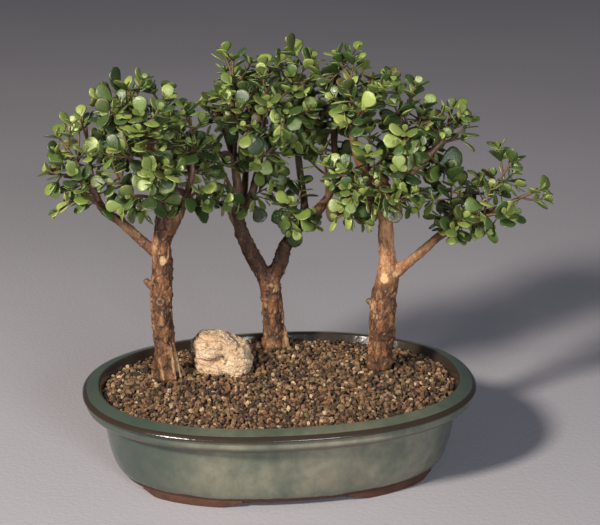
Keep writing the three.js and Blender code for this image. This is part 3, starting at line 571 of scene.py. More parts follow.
# Pot
potShape = {
    "length": 254, "depth": 190, "ovalPower": 2.24, "sides": 224,
    # distance in from the rim's edge, height, how far the corner is rounded
    "outside": [
        (24, 3.5, 0.9), (19.6, 9, 3), (16.2, 20, 5), (12.9, 40.5, 1.1), (11, 42.6, 1.0), (5, 45, 2.0),
        (2, 48, 1.6), (2.6, 50.8, 0.7), (0, 53.3, 1.3), (2.3, 55.7, 1.3),
    ],
    "inside": [(10.6, 58, 0.9), (11.9, 57, 1.0), (16, 47, 4), (21.2, 26, 5), (24.4, 15, 5), (31, 10.5, 0)],
    "cornerSteps": 5, "cornerMost": 0.45, "sharpAngle": 38,
    # where the glaze runs thin over the rim's edge: inset, height, reach of the full tone, reach of its end
    "thinAt": (1.2, 54.8), "thinReach": (1.7, 2.7),
    # and painted shade, partly thin dark glaze, where it faces inward: how much so, and from which height
    "innerShadeFacing": (0.1, 0.5), "innerShadeFrom": 40,
    # bare clay inside: between which heights, and below which height where it faces up
    "bareHeights": (4.5, 50), "bareFloor": 20, "bareFacing": 0.9,
    "footMiddles": (52, -52, 128, -128), "footHalfAngle": 22, "footInset": 22.6, "footWidth": 9,
    "footSlope": 2.9, "footTop": 5, "footFlatShare": 0.6, "footStations": 33, "footRound": 0.8,
    "footBend": 0.3, "drainRadius": 7, "drainSpacing": 110, "drainSides": 48, "drainHeights": (-1, 14),
}


def ovalPoint(angle, inset, height):
    c, s = math.cos(angle), math.sin(angle)
    power = 2 / potShape["ovalPower"]
    x = (potShape["length"] / 2 - inset) * math.copysign(abs(c) ** power, c)
    y = (potShape["depth"] / 2 - inset) * math.copysign(abs(s) ** power, s)
    return x, y, height


def ovalRing(inset, height, sides):
    return [ovalPoint(2 * math.pi * side / sides, inset, height) for side in range(sides)]


# Rounds each corner of a line of (inset, height, rounding)
def roundCorners(line, steps, most):
    made = [line[0][:2]]
    for before, corner, after in zip(line, line[1:], line[2:]):
        here = np.array(corner[:2], dtype=float)
        toBefore, toAfter = np.array(before[:2]) - here, np.array(after[:2]) - here
        reach = min(corner[2], most * math.hypot(*toBefore), most * math.hypot(*toAfter))
        start, end = here + unit(toBefore) * reach, here + unit(toAfter) * reach
        for step in range(steps + 1):
            share = step / steps
            made.append(tuple((1 - share) ** 2 * start + 2 * share * (1 - share) * here + share ** 2 * end))
    made.append(line[-1][:2])
    return made


def makeFoot(middle):
    shape = potShape
    outer, top, cut = shape["footInset"], shape["footTop"], shape["footRound"]
    inner, bend = outer + shape["footWidth"], shape["footBend"] * cut
    rings = []
    for station in range(shape["footStations"]):
        turn = lerp(-1, 1, station / (shape["footStations"] - 1))
        angle = math.radians(middle + shape["footHalfAngle"] * turn)
        rise = shape["footSlope"] * float(ramp(abs(turn), shape["footFlatShare"], 1))
        section = [
            (outer, rise + cut), (outer + bend, rise + bend), (outer + cut, rise), (inner - cut, rise),
            (inner - bend, rise + bend), (inner, rise + cut), (inner, top), (outer, top),
        ]
        rings.extend(ovalPoint(angle, inset, height) for inset, height in section)
    return makeObject("foot", makeMesh("foot", rings, loftFaces(shape["footStations"], len(section))))


def makeDrain(side):
    shape = potShape
    angles = 2 * np.pi * np.arange(shape["drainSides"]) / shape["drainSides"]
    x = side * shape["drainSpacing"] / 2 + shape["drainRadius"] * np.cos(angles)
    y = shape["drainRadius"] * np.sin(angles)
    rings = [np.column_stack([x, y, np.full_like(x, height)]) for height in shape["drainHeights"]]
    return makeObject("drain", makeMesh("drain", np.concatenate(rings), loftFaces(2, shape["drainSides"])))


# 1 for each face inside the pot that has no glaze
def bareFaces(mesh):
    shape = potShape
    away = (np.array([face.center for face in mesh.polygons]) - potMiddle) * 1000
    ways = np.array([face.normal for face in mesh.polygons])
    low, high = shape["bareHeights"]
    bare = (away[:, 0] * ways[:, 0] + away[:, 1] * ways[:, 1] < 0) & (away[:, 2] > low) & (away[:, 2] < high)
    bare |= (ways[:, 2] > shape["bareFacing"]) & (away[:, 2] < shape["bareFloor"])
    return bare.astype(int)


# How thin the glaze lies, from 0 to 1, over the rim's outer edge, and painted shade, partly thin dark glaze,
# down its inner face
def thinGlazeAndInnerShade(mesh):
    shape = potShape
    points = positions(mesh)
    power = shape["ovalPower"]
    share = np.abs(points[:, 0] / (shape["length"] / 2)) ** power
    share = share + np.abs(points[:, 1] / (shape["depth"] / 2)) ** power
    share = np.maximum(share, 0.001) ** (1 / power)
    radius = np.hypot(points[:, 0], points[:, 1])
    inset = radius * (1 - share) / share
    reach = np.hypot(inset - shape["thinAt"][0], points[:, 2] - shape["thinAt"][1])
    facing = (points[:, :2] * normals(mesh)[:, :2]).sum(1) / np.maximum(radius, 1)
    # painted shade, partly thin dark glaze, on the faces turned inward near the top
    inward = ramp(-facing, *shape["innerShadeFacing"]) * (points[:, 2] > shape["innerShadeFrom"])
    return np.maximum(ramp(reach, shape["thinReach"][1], shape["thinReach"][0]), inward)


def makePot():
    shape = potShape
    outline = roundCorners([*shape["outside"], *shape["inside"]], shape["cornerSteps"], shape["cornerMost"])
    points = [point for inset, height in outline for point in ovalRing(inset, height, shape["sides"])]
    pot = makeObject("potBody", makeMesh("potBody", points, loftFaces(len(outline), shape["sides"])))
    for middle in shape["footMiddles"]:
        boolean(pot, makeFoot(middle), "UNION")
    for side in (-1, 1):
        boolean(pot, makeDrain(side), "DIFFERENCE")
    mesh = pot.data
    mesh.name = pot.name
    mesh.shade_smooth()
    mesh.set_sharp_from_angle(angle=math.radians(shape["sharpAngle"]))
    setValues(mesh, "edge", thinGlazeAndInnerShade(mesh))
    bare = bareFaces(mesh)
    mesh.materials.clear()
    finishPiece(pot, [glaze, bareClay], ["pot"])
    mesh.polygons.foreach_set("material_index", bare.tolist())


makePot()
print("pot ready")

# Filling
fillingShape = {
    "fitGap": 0.35, "soilTop": 46, "gravelEdge": 51.5, "gravelMound": 4.5, "moundPower": 4,
    "trunkMound": 3, "trunkMoundSpread": 25,
    # the bed under the stones: inset of its foot and its edge, how far it lies below the mound's top
    "bedFoot": 16.3, "bedEdge": 12.6, "bedDrop": 2.4, "bedSides": 120, "bedRings": 34, "bedTone": 0.1,
    # the stones: how many kinds, how bumpy and how long, wide and high each kind is, and their sizes
    "stoneKinds": 40, "stoneBumps": (0.72, 1.22), "stoneStretch": ((0.95, 1.3), (0.75, 1.05), (0.6, 0.9)),
    "stoneSize": (1.25, 2.45), "smallStones": 1.3,
    # where they lie: pitch, rows and columns each way, and each layer's drop and play
    "stonePitch": 2.98, "rowPitch": 0.87, "rows": 34, "columns": 42, "layers": ((0.0, 1.1), (-1.9, 1.0)),
    "edgeInset": 14.6, "rootGap": 0.6, "underRock": 0.86, "sunk": 0.7, "rise": 1.8, "riseMiddle": 0.45,
    "seed": 41,
}
rockPlace = {"middle": (-34.5, 27, 64.5), "half": (20.5, 15.5, 17)}
trunkRoots = ((-71, 14), (5, 61), (67, 11))
rootRadius = 9.2


def gravelLevel(x, y):
    shape = fillingShape
    out = np.hypot(x / (potShape["length"] / 2), y / (potShape["depth"] / 2))
    level = shape["gravelEdge"] + shape["gravelMound"] * (1 - np.minimum(out, 1) ** shape["moundPower"])
    for rootX, rootY in trunkRoots:
        away = np.hypot(x - rootX, y - rootY) / shape["trunkMoundSpread"]
        level = level + shape["trunkMound"] * np.exp(-away * away)
    return level


# The fine stuff between the stones, a closed bed with the mound's top, painted nearly black as painted shade
# in the gaps
def addBed(heap):
    shape = fillingShape
    sides, gap = shape["bedSides"], shape["fitGap"]
    rings = [ovalRing(shape["bedFoot"] + gap, shape["soilTop"] + gap, sides)]
    for step in range(shape["bedRings"]):
        share = 1 - step / shape["bedRings"]
        ring = np.array(ovalRing(shape["bedEdge"] + gap, 0, sides)) * (share, share, 1)
        ring[:, 2] = gravelLevel(ring[:, 0], ring[:, 1]) - shape["bedDrop"]
        rings.append(ring)
    heap.add(np.concatenate(rings), loftFaces(len(rings), sides), material=1, stoneTone=shape["bedTone"])


def ballShape(subdivisions):
    ball = bmesh.new()
    bmesh.ops.create_icosphere(ball, subdivisions=subdivisions, radius=1)
    points = np.array([vertex.co for vertex in ball.verts])
    faces = [tuple(vertex.index for vertex in face.verts) for face in ball.faces]
    ball.free()
    return points, faces


def stoneKind(ball, random):
    radii = np.array([lerp(*fillingShape["stoneBumps"], random()) for _ in ball])
    stretch = np.array([lerp(*reach, random()) for reach in fillingShape["stoneStretch"]])
    return ball * radii[:, None] * stretch


def turnMatrix(random):
    w, x, y, z = unit(np.array([math.sqrt(-2 * math.log(random() + 1e-9)) * math.cos(2 * math.pi * random())
                                for _ in range(4)]))
    return np.array([
        [1 - 2 * (y * y + z * z), 2 * (x * y - w * z), 2 * (x * z + w * y)],
        [2 * (x * y + w * z), 1 - 2 * (x * x + z * z), 2 * (y * z - w * x)],
        [2 * (x * z - w * y), 2 * (y * z + w * x), 1 - 2 * (x * x + y * y)],
    ])


# True where no pot wall, trunk or rock is in a stone's way
def stoneFits(x, y, size):
    shape, power = fillingShape, potShape["ovalPower"]
    halfX, halfY = (potShape[name] / 2 - shape["edgeInset"] for name in ("length", "depth"))
    if abs(x / halfX) ** power + abs(y / halfY) ** power > 1:
        return False
    clear = rootRadius + shape["rootGap"] * size
    if any(math.hypot(x - rootX, y - rootY) < clear for rootX, rootY in trunkRoots):
        return False
    middle, half, share = rockPlace["middle"], rockPlace["half"], shape["underRock"]
    return math.hypot((x - middle[0]) / (share * half[0]), (y - middle[1]) / (share * half[1])) >= 1


def makeGravel():
    shape = fillingShape
    random = seededRandom(shape["seed"])
    heap = Heap()
    addBed(heap)
    ball, faces = ballShape(1)
    kinds = [stoneKind(ball, random) for _ in range(shape["stoneKinds"])]
    pitch = shape["stonePitch"]
    rows = range(-shape["rows"], shape["rows"] + 1)
    columns = range(-shape["columns"], shape["columns"] + 1)
    count = 0
    for (drop, play), row, column in itertools.product(shape["layers"], rows, columns):
        x = (column + 0.5 * (row % 2) + play * (random() - 0.5)) * pitch
        y = (row * shape["rowPitch"] + play * (random() - 0.5)) * pitch
        size = lerp(*shape["stoneSize"], random() ** shape["smallStones"])
        kind = kinds[int(random() * len(kinds))]
        tone = random()
        turn = turnMatrix(random)
        rise = shape["rise"] * (random() - shape["riseMiddle"])
        if stoneFits(x, y, size):
            z = float(gravelLevel(x, y)) + drop - shape["sunk"] * size + rise
            heap.add(kind @ turn.T * size + (x, y, z), faces, stoneTone=tone)
            count += 1
    gravel = heap.makeObject("gravelTop", smooth=False)
    finishPiece(gravel, [stone, gravelBedShade], ["gravel"])
    print("gravel ready,", count, "stones")


makeGravel()

# Rock
rockShape = {
    # middle, half size, turn about the upright, tilt, all from the rock's own middle
    "blocks": [
        ((-6.2, 0.5, 7.2), (13.2, 13, 7.6), 12, 3), ((5.0, 1, 4.8), (13.4, 13, 7.0), -14, -24),
        ((-8.6, 2, -4), (10.6, 12.2, 8.4), 5, 2), ((7.8, -0.8, -4.2), (11.8, 14.4, 8), -16, -14),
        ((-3.6, -8, -6.4), (5.2, 5.4, 4.2), 20, 8), ((-5, 1, 12.6), (9.5, 9, 3.6), 24, -6),
    ],
    "squareness": 3, "blockDetail": 4, "voxel": 0.46, "smooth": 6, "bottom": -9.8, "bottomFade": 2,
    # each noise: its size and its shift
    "warpNoise": (9, 5.0), "bigNoise": (7.5, 20.0), "midNoise": (7.5 / 2.2, 40.0), "pitWarp": (3, 7.0),
    "pitPatches": (8, 64.0), "fineNoise": (1.2, 80.0), "redPatchNoise": (5, 90.0),
    # layers: height, pitch, slope, how far they wander, and how their edges fall off
    "layer": 0.28, "layerPitch": 3.4, "layerSlope": 0.12, "layerWander": 2.0, "layerEdge": (0.0, 0.45),
    "layerSunk": 0.7, "lump": 1.25, "midLump": 0.6,
    "pit": 1.7, "pitSize": 5.5, "pitShift": 3.0, "pitWander": 1.2, "pitEdge": (0.36, 0.12),
    "pitCover": (-0.12, 0.12), "fine": 0.3,
    # what is darker for lying deeper, as painted shade on the layers' dark joints and brown pits and in the
    # fine hollows
    "jointDark": 0.5, "jointSpan": (-0.35, -0.7), "pitDark": 0.9, "fineHollowShade": 0.4, "fineSpan": (-0.1, -0.5),
    "redPatchAt": (-15.5, -9, 0.5), "redPatchReach": (8, 9, 3.2), "redPatchEdge": (1.25, 0.5),
    "redPatchCover": (-0.35, 0.15),
}


def noiseAt(points, scale, shift=0.0):
    return np.array([noise.noise(Vector(point)) for point in points / scale + shift])


# Distances to the nearest two cells, and a number from 0 to 1 that is the same all over a cell
def cellAt(points, scale, shift=0.0):
    near, tones = [], []
    for point in points / scale + shift:
        distances, middles = noise.voronoi(Vector(point))
        near.append(distances[:2])
        tones.append(noise.cell(middles[0] * 7.3))
    return np.array(near), np.array(tones) % 1


# Turns shapes that overlap into one smoothed skin
def fuseSkin(thing, voxel, rounds):
    skin = thing.modifiers.new("skin", "REMESH")
    skin.mode, skin.voxel_size, skin.use_smooth_shade = "VOXEL", voxel / 1000, True
    soften = thing.modifiers.new("soften", "SMOOTH")
    soften.factor, soften.iterations = 0.5, rounds
    applyModifiers(thing)
    thing.data.name = thing.name


def roundedBlock(middle, half, turn, tilt):
    points, faces = ballShape(rockShape["blockDetail"])
    power = rockShape["squareness"]
    points = points / (np.abs(points) ** power).sum(1, keepdims=True) ** (1 / power) * half
    c, s = math.cos(math.radians(turn)), math.sin(math.radians(turn))
    lean, rise = math.cos(math.radians(tilt)), math.sin(math.radians(tilt))
    points = points @ np.array([[lean, 0, rise], [0, 1, 0], [-rise, 0, lean]])
    points = points @ np.array([[c, s, 0], [-s, c, 0], [0, 0, 1]])
    return points + middle, faces


def carveRock(mesh, middle):
    shape = rockShape
    points, ways = positions(mesh), normals(mesh)
    local = points - middle
    warp = noiseAt(points, *shape["warpNoise"])
    layers = local[:, 2] + shape["layerSlope"] * local[:, 0] + shape["layerWander"] * warp
    layers = np.abs((layers / shape["layerPitch"]) % 1 - 0.5) * 2
    layers = ramp(layers, *shape["layerEdge"]) - shape["layerSunk"]
    lumps = noiseAt(points, *shape["bigNoise"]) + shape["midLump"] * noiseAt(points, *shape["midNoise"])
    wander = shape["pitWander"] * noiseAt(points, *shape["pitWarp"])[:, None]
    near, _ = cellAt(points + wander, shape["pitSize"], shape["pitShift"])
    pits = ramp(near[:, 0], *shape["pitEdge"])
    pits = pits * ramp(noiseAt(points, *shape["pitPatches"]), *shape["pitCover"])
    fine = noiseAt(points, *shape["fineNoise"])
    lift = shape["layer"] * layers + shape["lump"] * lumps - shape["pit"] * pits + shape["fine"] * fine
    lift = lift * ramp(local[:, 2], shape["bottom"], shape["bottom"] + shape["bottomFade"])
    setPositions(mesh, points + ways * lift[:, None])
    # painted shade where the surface lies deeper, over the dark joints and brown pits
    cavityAndShade = shape["jointDark"] * ramp(layers, *shape["jointSpan"]) + shape["pitDark"] * pits
    cavityAndShade = np.clip(cavityAndShade + shape["fineHollowShade"] * ramp(fine, *shape["fineSpan"]), 0, 1)
    # a reddish patch on the rock's left front, broken up by noise
    away = np.linalg.norm((local - shape["redPatchAt"]) / shape["redPatchReach"], axis=1)
    redPatch = ramp(noiseAt(points, *shape["redPatchNoise"]), *shape["redPatchCover"])
    redPatch = ramp(away, *shape["redPatchEdge"]) * redPatch
    setValues(mesh, "cavityAndShade", cavityAndShade)
    setValues(mesh, "redPatch", redPatch)


def makeRock():
    middle = np.array(rockPlace["middle"])
    heap = Heap()
    for block in rockShape["blocks"]:
        points, faces = roundedBlock(*block)
        points[:, 2] = np.maximum(points[:, 2], rockShape["bottom"])
        heap.add(points + middle, faces)
    rock = heap.makeObject("creamRock")
    fuseSkin(rock, rockShape["voxel"], rockShape["smooth"])
    carveRock(rock.data, middle)
    rock.data.shade_smooth()
    finishPiece(rock, [rockSkin], ["rock"])
    print("rock ready,", len(rock.data.polygons), "faces")


makeRock()

# Each limb is a row of x, y, z and radius. Each tip under it is the far end of a leafy spray, x, y and z,
# and how far along the limb its twig starts.
trees = {
    "left": {
        "limbs": {
            "trunk": [(-71, 14, 58, 9.2), (-72, 14, 63, 7.9), (-73, 14, 78, 6.9), (-74, 14, 96, 6.9),
                      (-74, 14, 112, 7), (-73, 14, 129, 6.7), (-73, 14, 143, 6), (-72, 14, 159, 4.9),
                      (-72, 14, 176, 3.8), (-76, 13, 194, 2.9), (-80, 14, 212, 2.3)],
            "low": [(-73, 14, 137, 4), (-87, 15, 150, 3.3), (-98, 16, 161, 3), (-109, 16, 170, 2.7),
                    (-115, 16, 184, 2.2)],
            "right": [(-72, 14, 146, 4), (-66, 13, 157, 3.5), (-61, 12, 168, 3), (-56, 12, 180, 2.5),
                      (-53, 12, 193, 2.1)],
            "front": [(-72, 14, 166, 3.4), (-75, 4, 177, 2.7), (-79, -4, 190, 2.1)],
            "back": [(-72, 14, 162, 3.4), (-74, 26, 173, 2.7), (-79, 36, 185, 2.1)],
            "stub": [(-75, 14, 116, 2.8), (-81, 15, 119, 2.4), (-84, 15, 123, 2)],
        },
        "tips": {
            "trunk": [(-92, 16, 246, 1), (-102, 8, 239, 0.9), (-67, 20, 243, 0.95), (-86, -16, 236, 0.85)],
            "low": [(-135, 22, 216, 1), (-134, 10, 201, 0.85), (-117, 32, 221, 0.95), (-122, 0, 187, 0.7)],
            "right": [(-54, 15, 232, 1), (-49, 38, 203, 0.7), (-50, -8, 186, 0.55)],
            "front": [(-101, -26, 218, 1), (-109, -16, 194, 0.85), (-76, -26, 217, 1), (-92, -12, 185, 0.5)],
            "back": [(-111, 48, 206, 1), (-66, 52, 216, 0.85)],
        },
    },
    "centre": {
        "limbs": {
            "trunk": [(5, 61, 58, 9.2), (4, 61, 63, 8), (4, 61, 76, 7.3), (3, 61, 90, 7.1),
                      (1, 61, 103, 7.6)],
            "left": [(1, 61, 101, 6), (-7, 62, 116, 5.5), (-13, 63, 128, 5.1), (-17, 63, 139, 4.6),
                     (-19, 63, 152, 3.9), (-19, 63, 167, 3.2), (-21, 64, 184, 2.5), (-22, 64, 201, 2)],
            "leftStub": [(-17, 63, 138, 2.8), (-22, 64, 146, 2.3), (-25, 64, 153, 1.9)],
            "inner": [(-18, 63, 150, 3.4), (-11, 62, 161, 2.9), (-7, 62, 174, 2.6), (-4, 61, 191, 2.3),
                      (-2, 61, 209, 2)],
            "right": [(2, 61, 102, 6), (8, 60, 115, 5.3), (12, 59, 127, 4.8), (18, 58, 137, 4.3),
                      (26, 57, 146, 3.8), (36, 55, 156, 3.2), (42, 54, 168, 2.6), (44, 54, 187, 2.3),
                      (43, 54, 203, 2)],
            "middle": [(25, 57, 145, 3.4), (25, 63, 158, 2.7), (23, 68, 177, 2.4), (21, 67, 197, 2.2),
                       (21, 65, 214, 2)],
            "back": [(-18, 63, 148, 3.2), (-14, 74, 160, 2.6), (-11, 84, 175, 2.2), (-10, 89, 187, 2)],
        },
        "tips": {
            "left": [(-21, 65, 253, 1), (-36, 58, 227, 0.85), (-22, 26, 230, 0.85), (-42, 50, 204, 0.6)],
            "inner": [(-1, 68, 248, 1), (-4, 22, 234, 1), (-14, 28, 200, 0.55), (-10, 44, 160, 0.3)],
            "right": [(42, 53, 235, 1), (50, 78, 205, 0.85), (33, 40, 196, 0.7), (12, 38, 164, 0.42)],
            "middle": [(18, 58, 251, 1), (9, 24, 229, 0.8), (32, 94, 220, 0.9)],
            "back": [(-9, 98, 231, 1)],
        },
    },
    "right": {
        "limbs": {
            "trunk": [(67, 11, 58, 9.2), (67, 10, 64, 8.8), (68, 9, 78, 8.4), (68, 8, 92, 8.5),
                      (69, 8, 106, 8.2), (71, 8, 119, 7.4), (71, 8, 131, 5.6), (70, 8, 144, 5),
                      (69, 8, 160, 4.8)],
            "upLeft": [(69, 8, 158, 4.6), (62, 9, 177, 3.5), (54, 9, 192, 2.9), (49, 9, 206, 2.5),
                       (46, 11, 224, 2.1)],
            "up": [(70, 8, 157, 4.4), (78, 5, 171, 3.4), (82, 4, 190, 2.6), (84, 6, 208, 2.1)],
            "shoulder": [(82, 5, 186, 2.6), (95, 5, 199, 2.3), (104, 6, 208, 2)],
            "low": [(71, 8, 117, 4.6), (79, 5, 126, 3.7), (86, 3, 132, 3.2), (94, 1, 140, 3),
                    (101, -1, 147, 2.9), (110, -3, 154, 2.6), (122, -6, 161, 2.3), (138, -9, 167, 2)],
            "droop": [(69, 8, 158, 3.4), (60, 0, 168, 2.7), (50, -6, 175, 2.2)],
            "back": [(70, 8, 156, 3.6), (76, 19, 170, 2.8), (83, 30, 183, 2.2)],
            "front": [(70, 8, 158, 3.4), (72, -3, 172, 2.4)],
            "stub": [(70, 8, 158, 3.2), (76, 7, 165, 2.5), (79, 6, 169, 2.1)],
            "scarLeft": [(67, 8, 100, 3), (60, 8, 103, 2.1), (58, 8, 105, 1.8)],
        },
        "tips": {
            "upLeft": [(48, 12, 259, 1), (58, 2, 250, 0.95), (46, -28, 239, 0.75), (52, -18, 208, 0.3)],
            "up": [(77, 13, 238, 1), (93, 3, 231, 1), (72, -32, 224, 0.7)],
            "shoulder": [(109, 0, 231, 1), (117, 8, 209, 0.9), (103, 16, 188, 0.55)],
            "low": [(164, -14, 180, 1), (147, -6, 197, 0.85), (144, -24, 168, 0.8), (112, -24, 166, 0.6),
                    (120, 14, 177, 0.6)],
            "droop": [(39, -13, 174, 0.9), (38, -20, 200, 1)],
            "back": [(101, 42, 206, 1)],
            "front": [(69, -30, 200, 1)],
        },
    },
}

# How a spray grows
growth = {
    "armLean": 0.1, "armRise": 0.05, "bareTwig": 3, "pairPitch": 8.2, "pairs": (2, 3), "firstPair": 0.1,
    "lastPair": 0.9, "stemSpare": 1, "sprayGap": 0.3, "twigRadius": (1.8, 1.25),
    "stemHalfWidth": (1.05, 0.7),
    "shoots": 2, "shootPairs": 2, "shootFirstPair": 0.5, "shootHalfWidth": (0.8, 0.6),
    "shootLength": (20, 13), "shootReach": 0.9, "shootTries": (1, 0.8, 0.65), "shootSpread": 52,
    "shootRise": 0.25, "shootClearance": 3, "spraySeed": 100,
}
# How a leaf sits on its stem. Its disc, for keeping clear, has its middle and radius as shares of its length,
# and each try is a tilt and a size.
leafRule = {
    "length": 15.8, "middle": 0.58, "halfSpan": 0.5, "shrink": (1.05, 0.65), "sizes": (0.85, 1.12),
    "shootSize": 0.85, "spread": (74, 42), "leastSpread": 30, "spreadPlay": 8, "turnPlay": 7, "rollPlay": 14,
    "leafGap": 0.9, "leafBulge": 1.4, "partnerReach": 0.1, "levelShare": 0.75, "levelMost": 38,
    "tries": ((0, 1), (-14, 1), (12, 1), (-28, 0.95), (22, 0.9), (0, 0.8), (-20, 0.8), (0, 0.65)),
}
up = np.array([0.0, 0.0, 1.0])


def onLimb(rows, share):
    place = share * (len(rows) - 1)
    index = min(math.floor(place), len(rows) - 2)
    here, there = np.array(rows[index], dtype=float), np.array(rows[index + 1], dtype=float)
    at = lerp(here, there, place - index)
    return at[:3], unit(there[:3] - here[:3]), at[3]


def sideOf(direction):
    reference = np.array([1.0, 0.0, 0.0]) if abs(direction[2]) > 0.8 else up
    return unit(reference - (reference @ direction) * direction)


def rotated(vector, axis, angle):
    c, s = math.cos(angle), math.sin(angle)
    return vector * c + np.cross(axis, vector) * s + axis * (axis @ vector) * (1 - c)


# A bent line from start to end that leans towards a middle point
class Bend:
    def __init__(self, start, middle, end):
        self.start, self.middle, self.end = start, middle, end
        self.stops = [self.point(share) for share in (0, 0.25, 0.5, 0.75, 1)]
        self.length = sum(math.dist(a, b) for a, b in zip(self.stops, self.stops[1:]))

    def point(self, share):
        return self.start * (1 - share) ** 2 + self.middle * (2 * share * (1 - share)) + self.end * share ** 2

    def direction(self, share):
        return unit((self.middle - self.start) * (1 - share) + (self.end - self.middle) * share)


class Stem:
    def __init__(self, curve, side, shares, halfWidth, number, spray=None, pair=None, face=None):
        self.curve, self.side, self.shares, self.halfWidth = curve, side, shares, halfWidth
        self.number, self.spray, self.pair, self.face = number, spray or self, pair, face
        self.shoots, self.leaves = [], []

    def frameAt(self, share):
        along = self.curve.direction(share)
        across = unit(self.side - (self.side @ along) * along)
        return self.curve.point(share), along, across, np.cross(along, across)


def pairShares(count, first):
    return [lerp(first, growth["lastPair"], pair / (count - 1)) for pair in range(count)]


# Short straight pieces that leaves keep clear of, each with a radius and an owner's number
class Lines:
    def __init__(self, most):
        self.starts, self.spans = np.zeros((most, 3)), np.ones((most, 3))
        self.radii, self.owners, self.count = np.zeros(most), np.zeros(most, dtype=int), 0

    def add(self, points, radius, owner):
        for start, end in zip(points, points[1:]):
            self.starts[self.count], self.spans[self.count] = start, np.asarray(end) - start
            self.radii[self.count], self.owners[self.count] = radius, owner
            self.count += 1

    def distances(self, points, chosen):
        starts, spans = self.starts[chosen], self.spans[chosen]
        offsets = points[:, None, :] - starts[None]
        shares = np.clip((offsets * spans).sum(2) / (spans * spans).sum(1), 0, 1)
        return np.linalg.norm(offsets - shares[..., None] * spans, axis=2)


# Test points on a leaf's disc: its middle and three rings, each with a count and a share of the radius
testRings = ((18, 1), (12, 0.65), (6, 0.3))
ringAngles = [(2 * math.pi * index / count, share) for count, share in testRings for index in range(count)]
ringOut = np.array([0.0, *(share * math.cos(angle) for angle, share in ringAngles)])
ringAcross = np.array([0.0, *(share * math.sin(angle) for angle, share in ringAngles)])


# Leaves as flat discs with test points on them, to keep them apart
class Discs:
    def __init__(self, most):
        self.roots, self.centres, self.normals = (np.zeros((most, 3)) for _ in range(3))
        self.stems, self.sprays = (np.zeros(most, dtype=int) for _ in range(2))
        self.radii, self.samples, self.count = np.zeros(most), np.zeros((most, len(ringOut), 3)), 0

    def add(self, disc):
        here = self.count
        self.roots[here], self.centres[here] = disc["root"], disc["centre"]
        self.normals[here], self.radii[here] = disc["normal"], disc["radius"]
        self.stems[here], self.sprays[here] = disc["stem"], disc["spray"]
        self.samples[here] = disc["samples"]
        self.count += 1


lines, discs = Lines(6000), Discs(4000)


def leafDisc(root, out, across, normal, length, stem):
    radius = leafRule["halfSpan"] * length
    centre = root + out * (leafRule["middle"] * length)
    samples = centre + np.outer(radius * ringOut, out) + np.outer(radius * ringAcross, across)
    return {"root": root, "centre": centre, "normal": normal, "radius": radius, "samples": samples,
            "stem": stem.number, "spray": stem.spray.number}


def holds(centre, normal, radius, points, gap, bulge):
    offsets = points - centre
    heights = np.abs(offsets @ normal)
    away = np.sqrt(np.maximum((offsets * offsets).sum(-1) - heights * heights, 0))
    return bool(np.any((heights < bulge + gap) & (away < radius + gap)))


def discIsClear(disc, rule):
    count, bulge = discs.count, rule["leafBulge"]
    gaps = np.where(discs.sprays[:count] == disc["spray"], 0, rule["leafGap"])
    rootsAway = np.linalg.norm(discs.roots[:count] - disc["root"], axis=1)
    partner = (discs.stems[:count] == disc["stem"]) & (rootsAway < leafRule["partnerReach"])
    away = np.linalg.norm(discs.centres[:count] - disc["centre"], axis=1)
    near = ~partner & (away <= disc["radius"] + discs.radii[:count] + 2 * gaps)
    for index in np.flatnonzero(near):
        gap = gaps[index]
        if holds(discs.centres[index], discs.normals[index], discs.radii[index], disc["samples"], gap, bulge):
            return False
        if holds(disc["centre"], disc["normal"], disc["radius"], discs.samples[index], gap, bulge):
            return False
    alive = slice(0, lines.count)
    far = lines.distances(disc["centre"][None], alive)[0] > 2 * disc["radius"] + lines.radii[alive]
    chosen = np.flatnonzero(~far & (lines.owners[alive] != disc["stem"]))
    if not len(chosen):
        return True
    return not np.any(lines.distances(disc["samples"], chosen) < lines.radii[chosen] + bulge)


def wayOut(frameHere, turn, spread):
    _, along, across, third = frameHere
    away = across * math.cos(turn) + third * math.sin(turn)
    out = away * math.sin(spread) + along * math.cos(spread)
    normal = away * -math.cos(spread) + along * math.sin(spread)
    return out, normal


# The arm from a limb out to a tip is one bend: a bare twig and then the leafy stem of the spray
def planSpray(tree, limbName, tip, number):
    point, along, radius = onLimb(tree["limbs"][limbName], tip[3])
    end = np.array(tip[:3], dtype=float)
    reach = math.dist(point, end)
    middle = lerp(point, end, 0.5) + along * (growth["armLean"] * reach)
    middle[2] += growth["armRise"] * reach
    arm = Bend(point, middle, end)
    leafy = arm.length - radius - growth["bareTwig"]
    pairs = min(max(math.floor(leafy / growth["pairPitch"]), growth["pairs"][0]), growth["pairs"][1])
    split = 1 - min(pairs * growth["pairPitch"] + growth["stemSpare"], leafy) / arm.length
    base = arm.point(split)
    first, second = lerp(point, middle, split), lerp(middle, end, split)
    stemStart = base + arm.direction(split) * growth["sprayGap"]
    chord = unit(end - base)
    random = seededRandom(number)
    side = rotated(sideOf(chord), chord, 2 * math.pi * random())
    spray = Stem(Bend(stemStart, second, end), side, pairShares(pairs, growth["firstPair"]),
                 growth["stemHalfWidth"], number)
    spray.twig, spray.random = Bend(point, first, base), random
    return spray


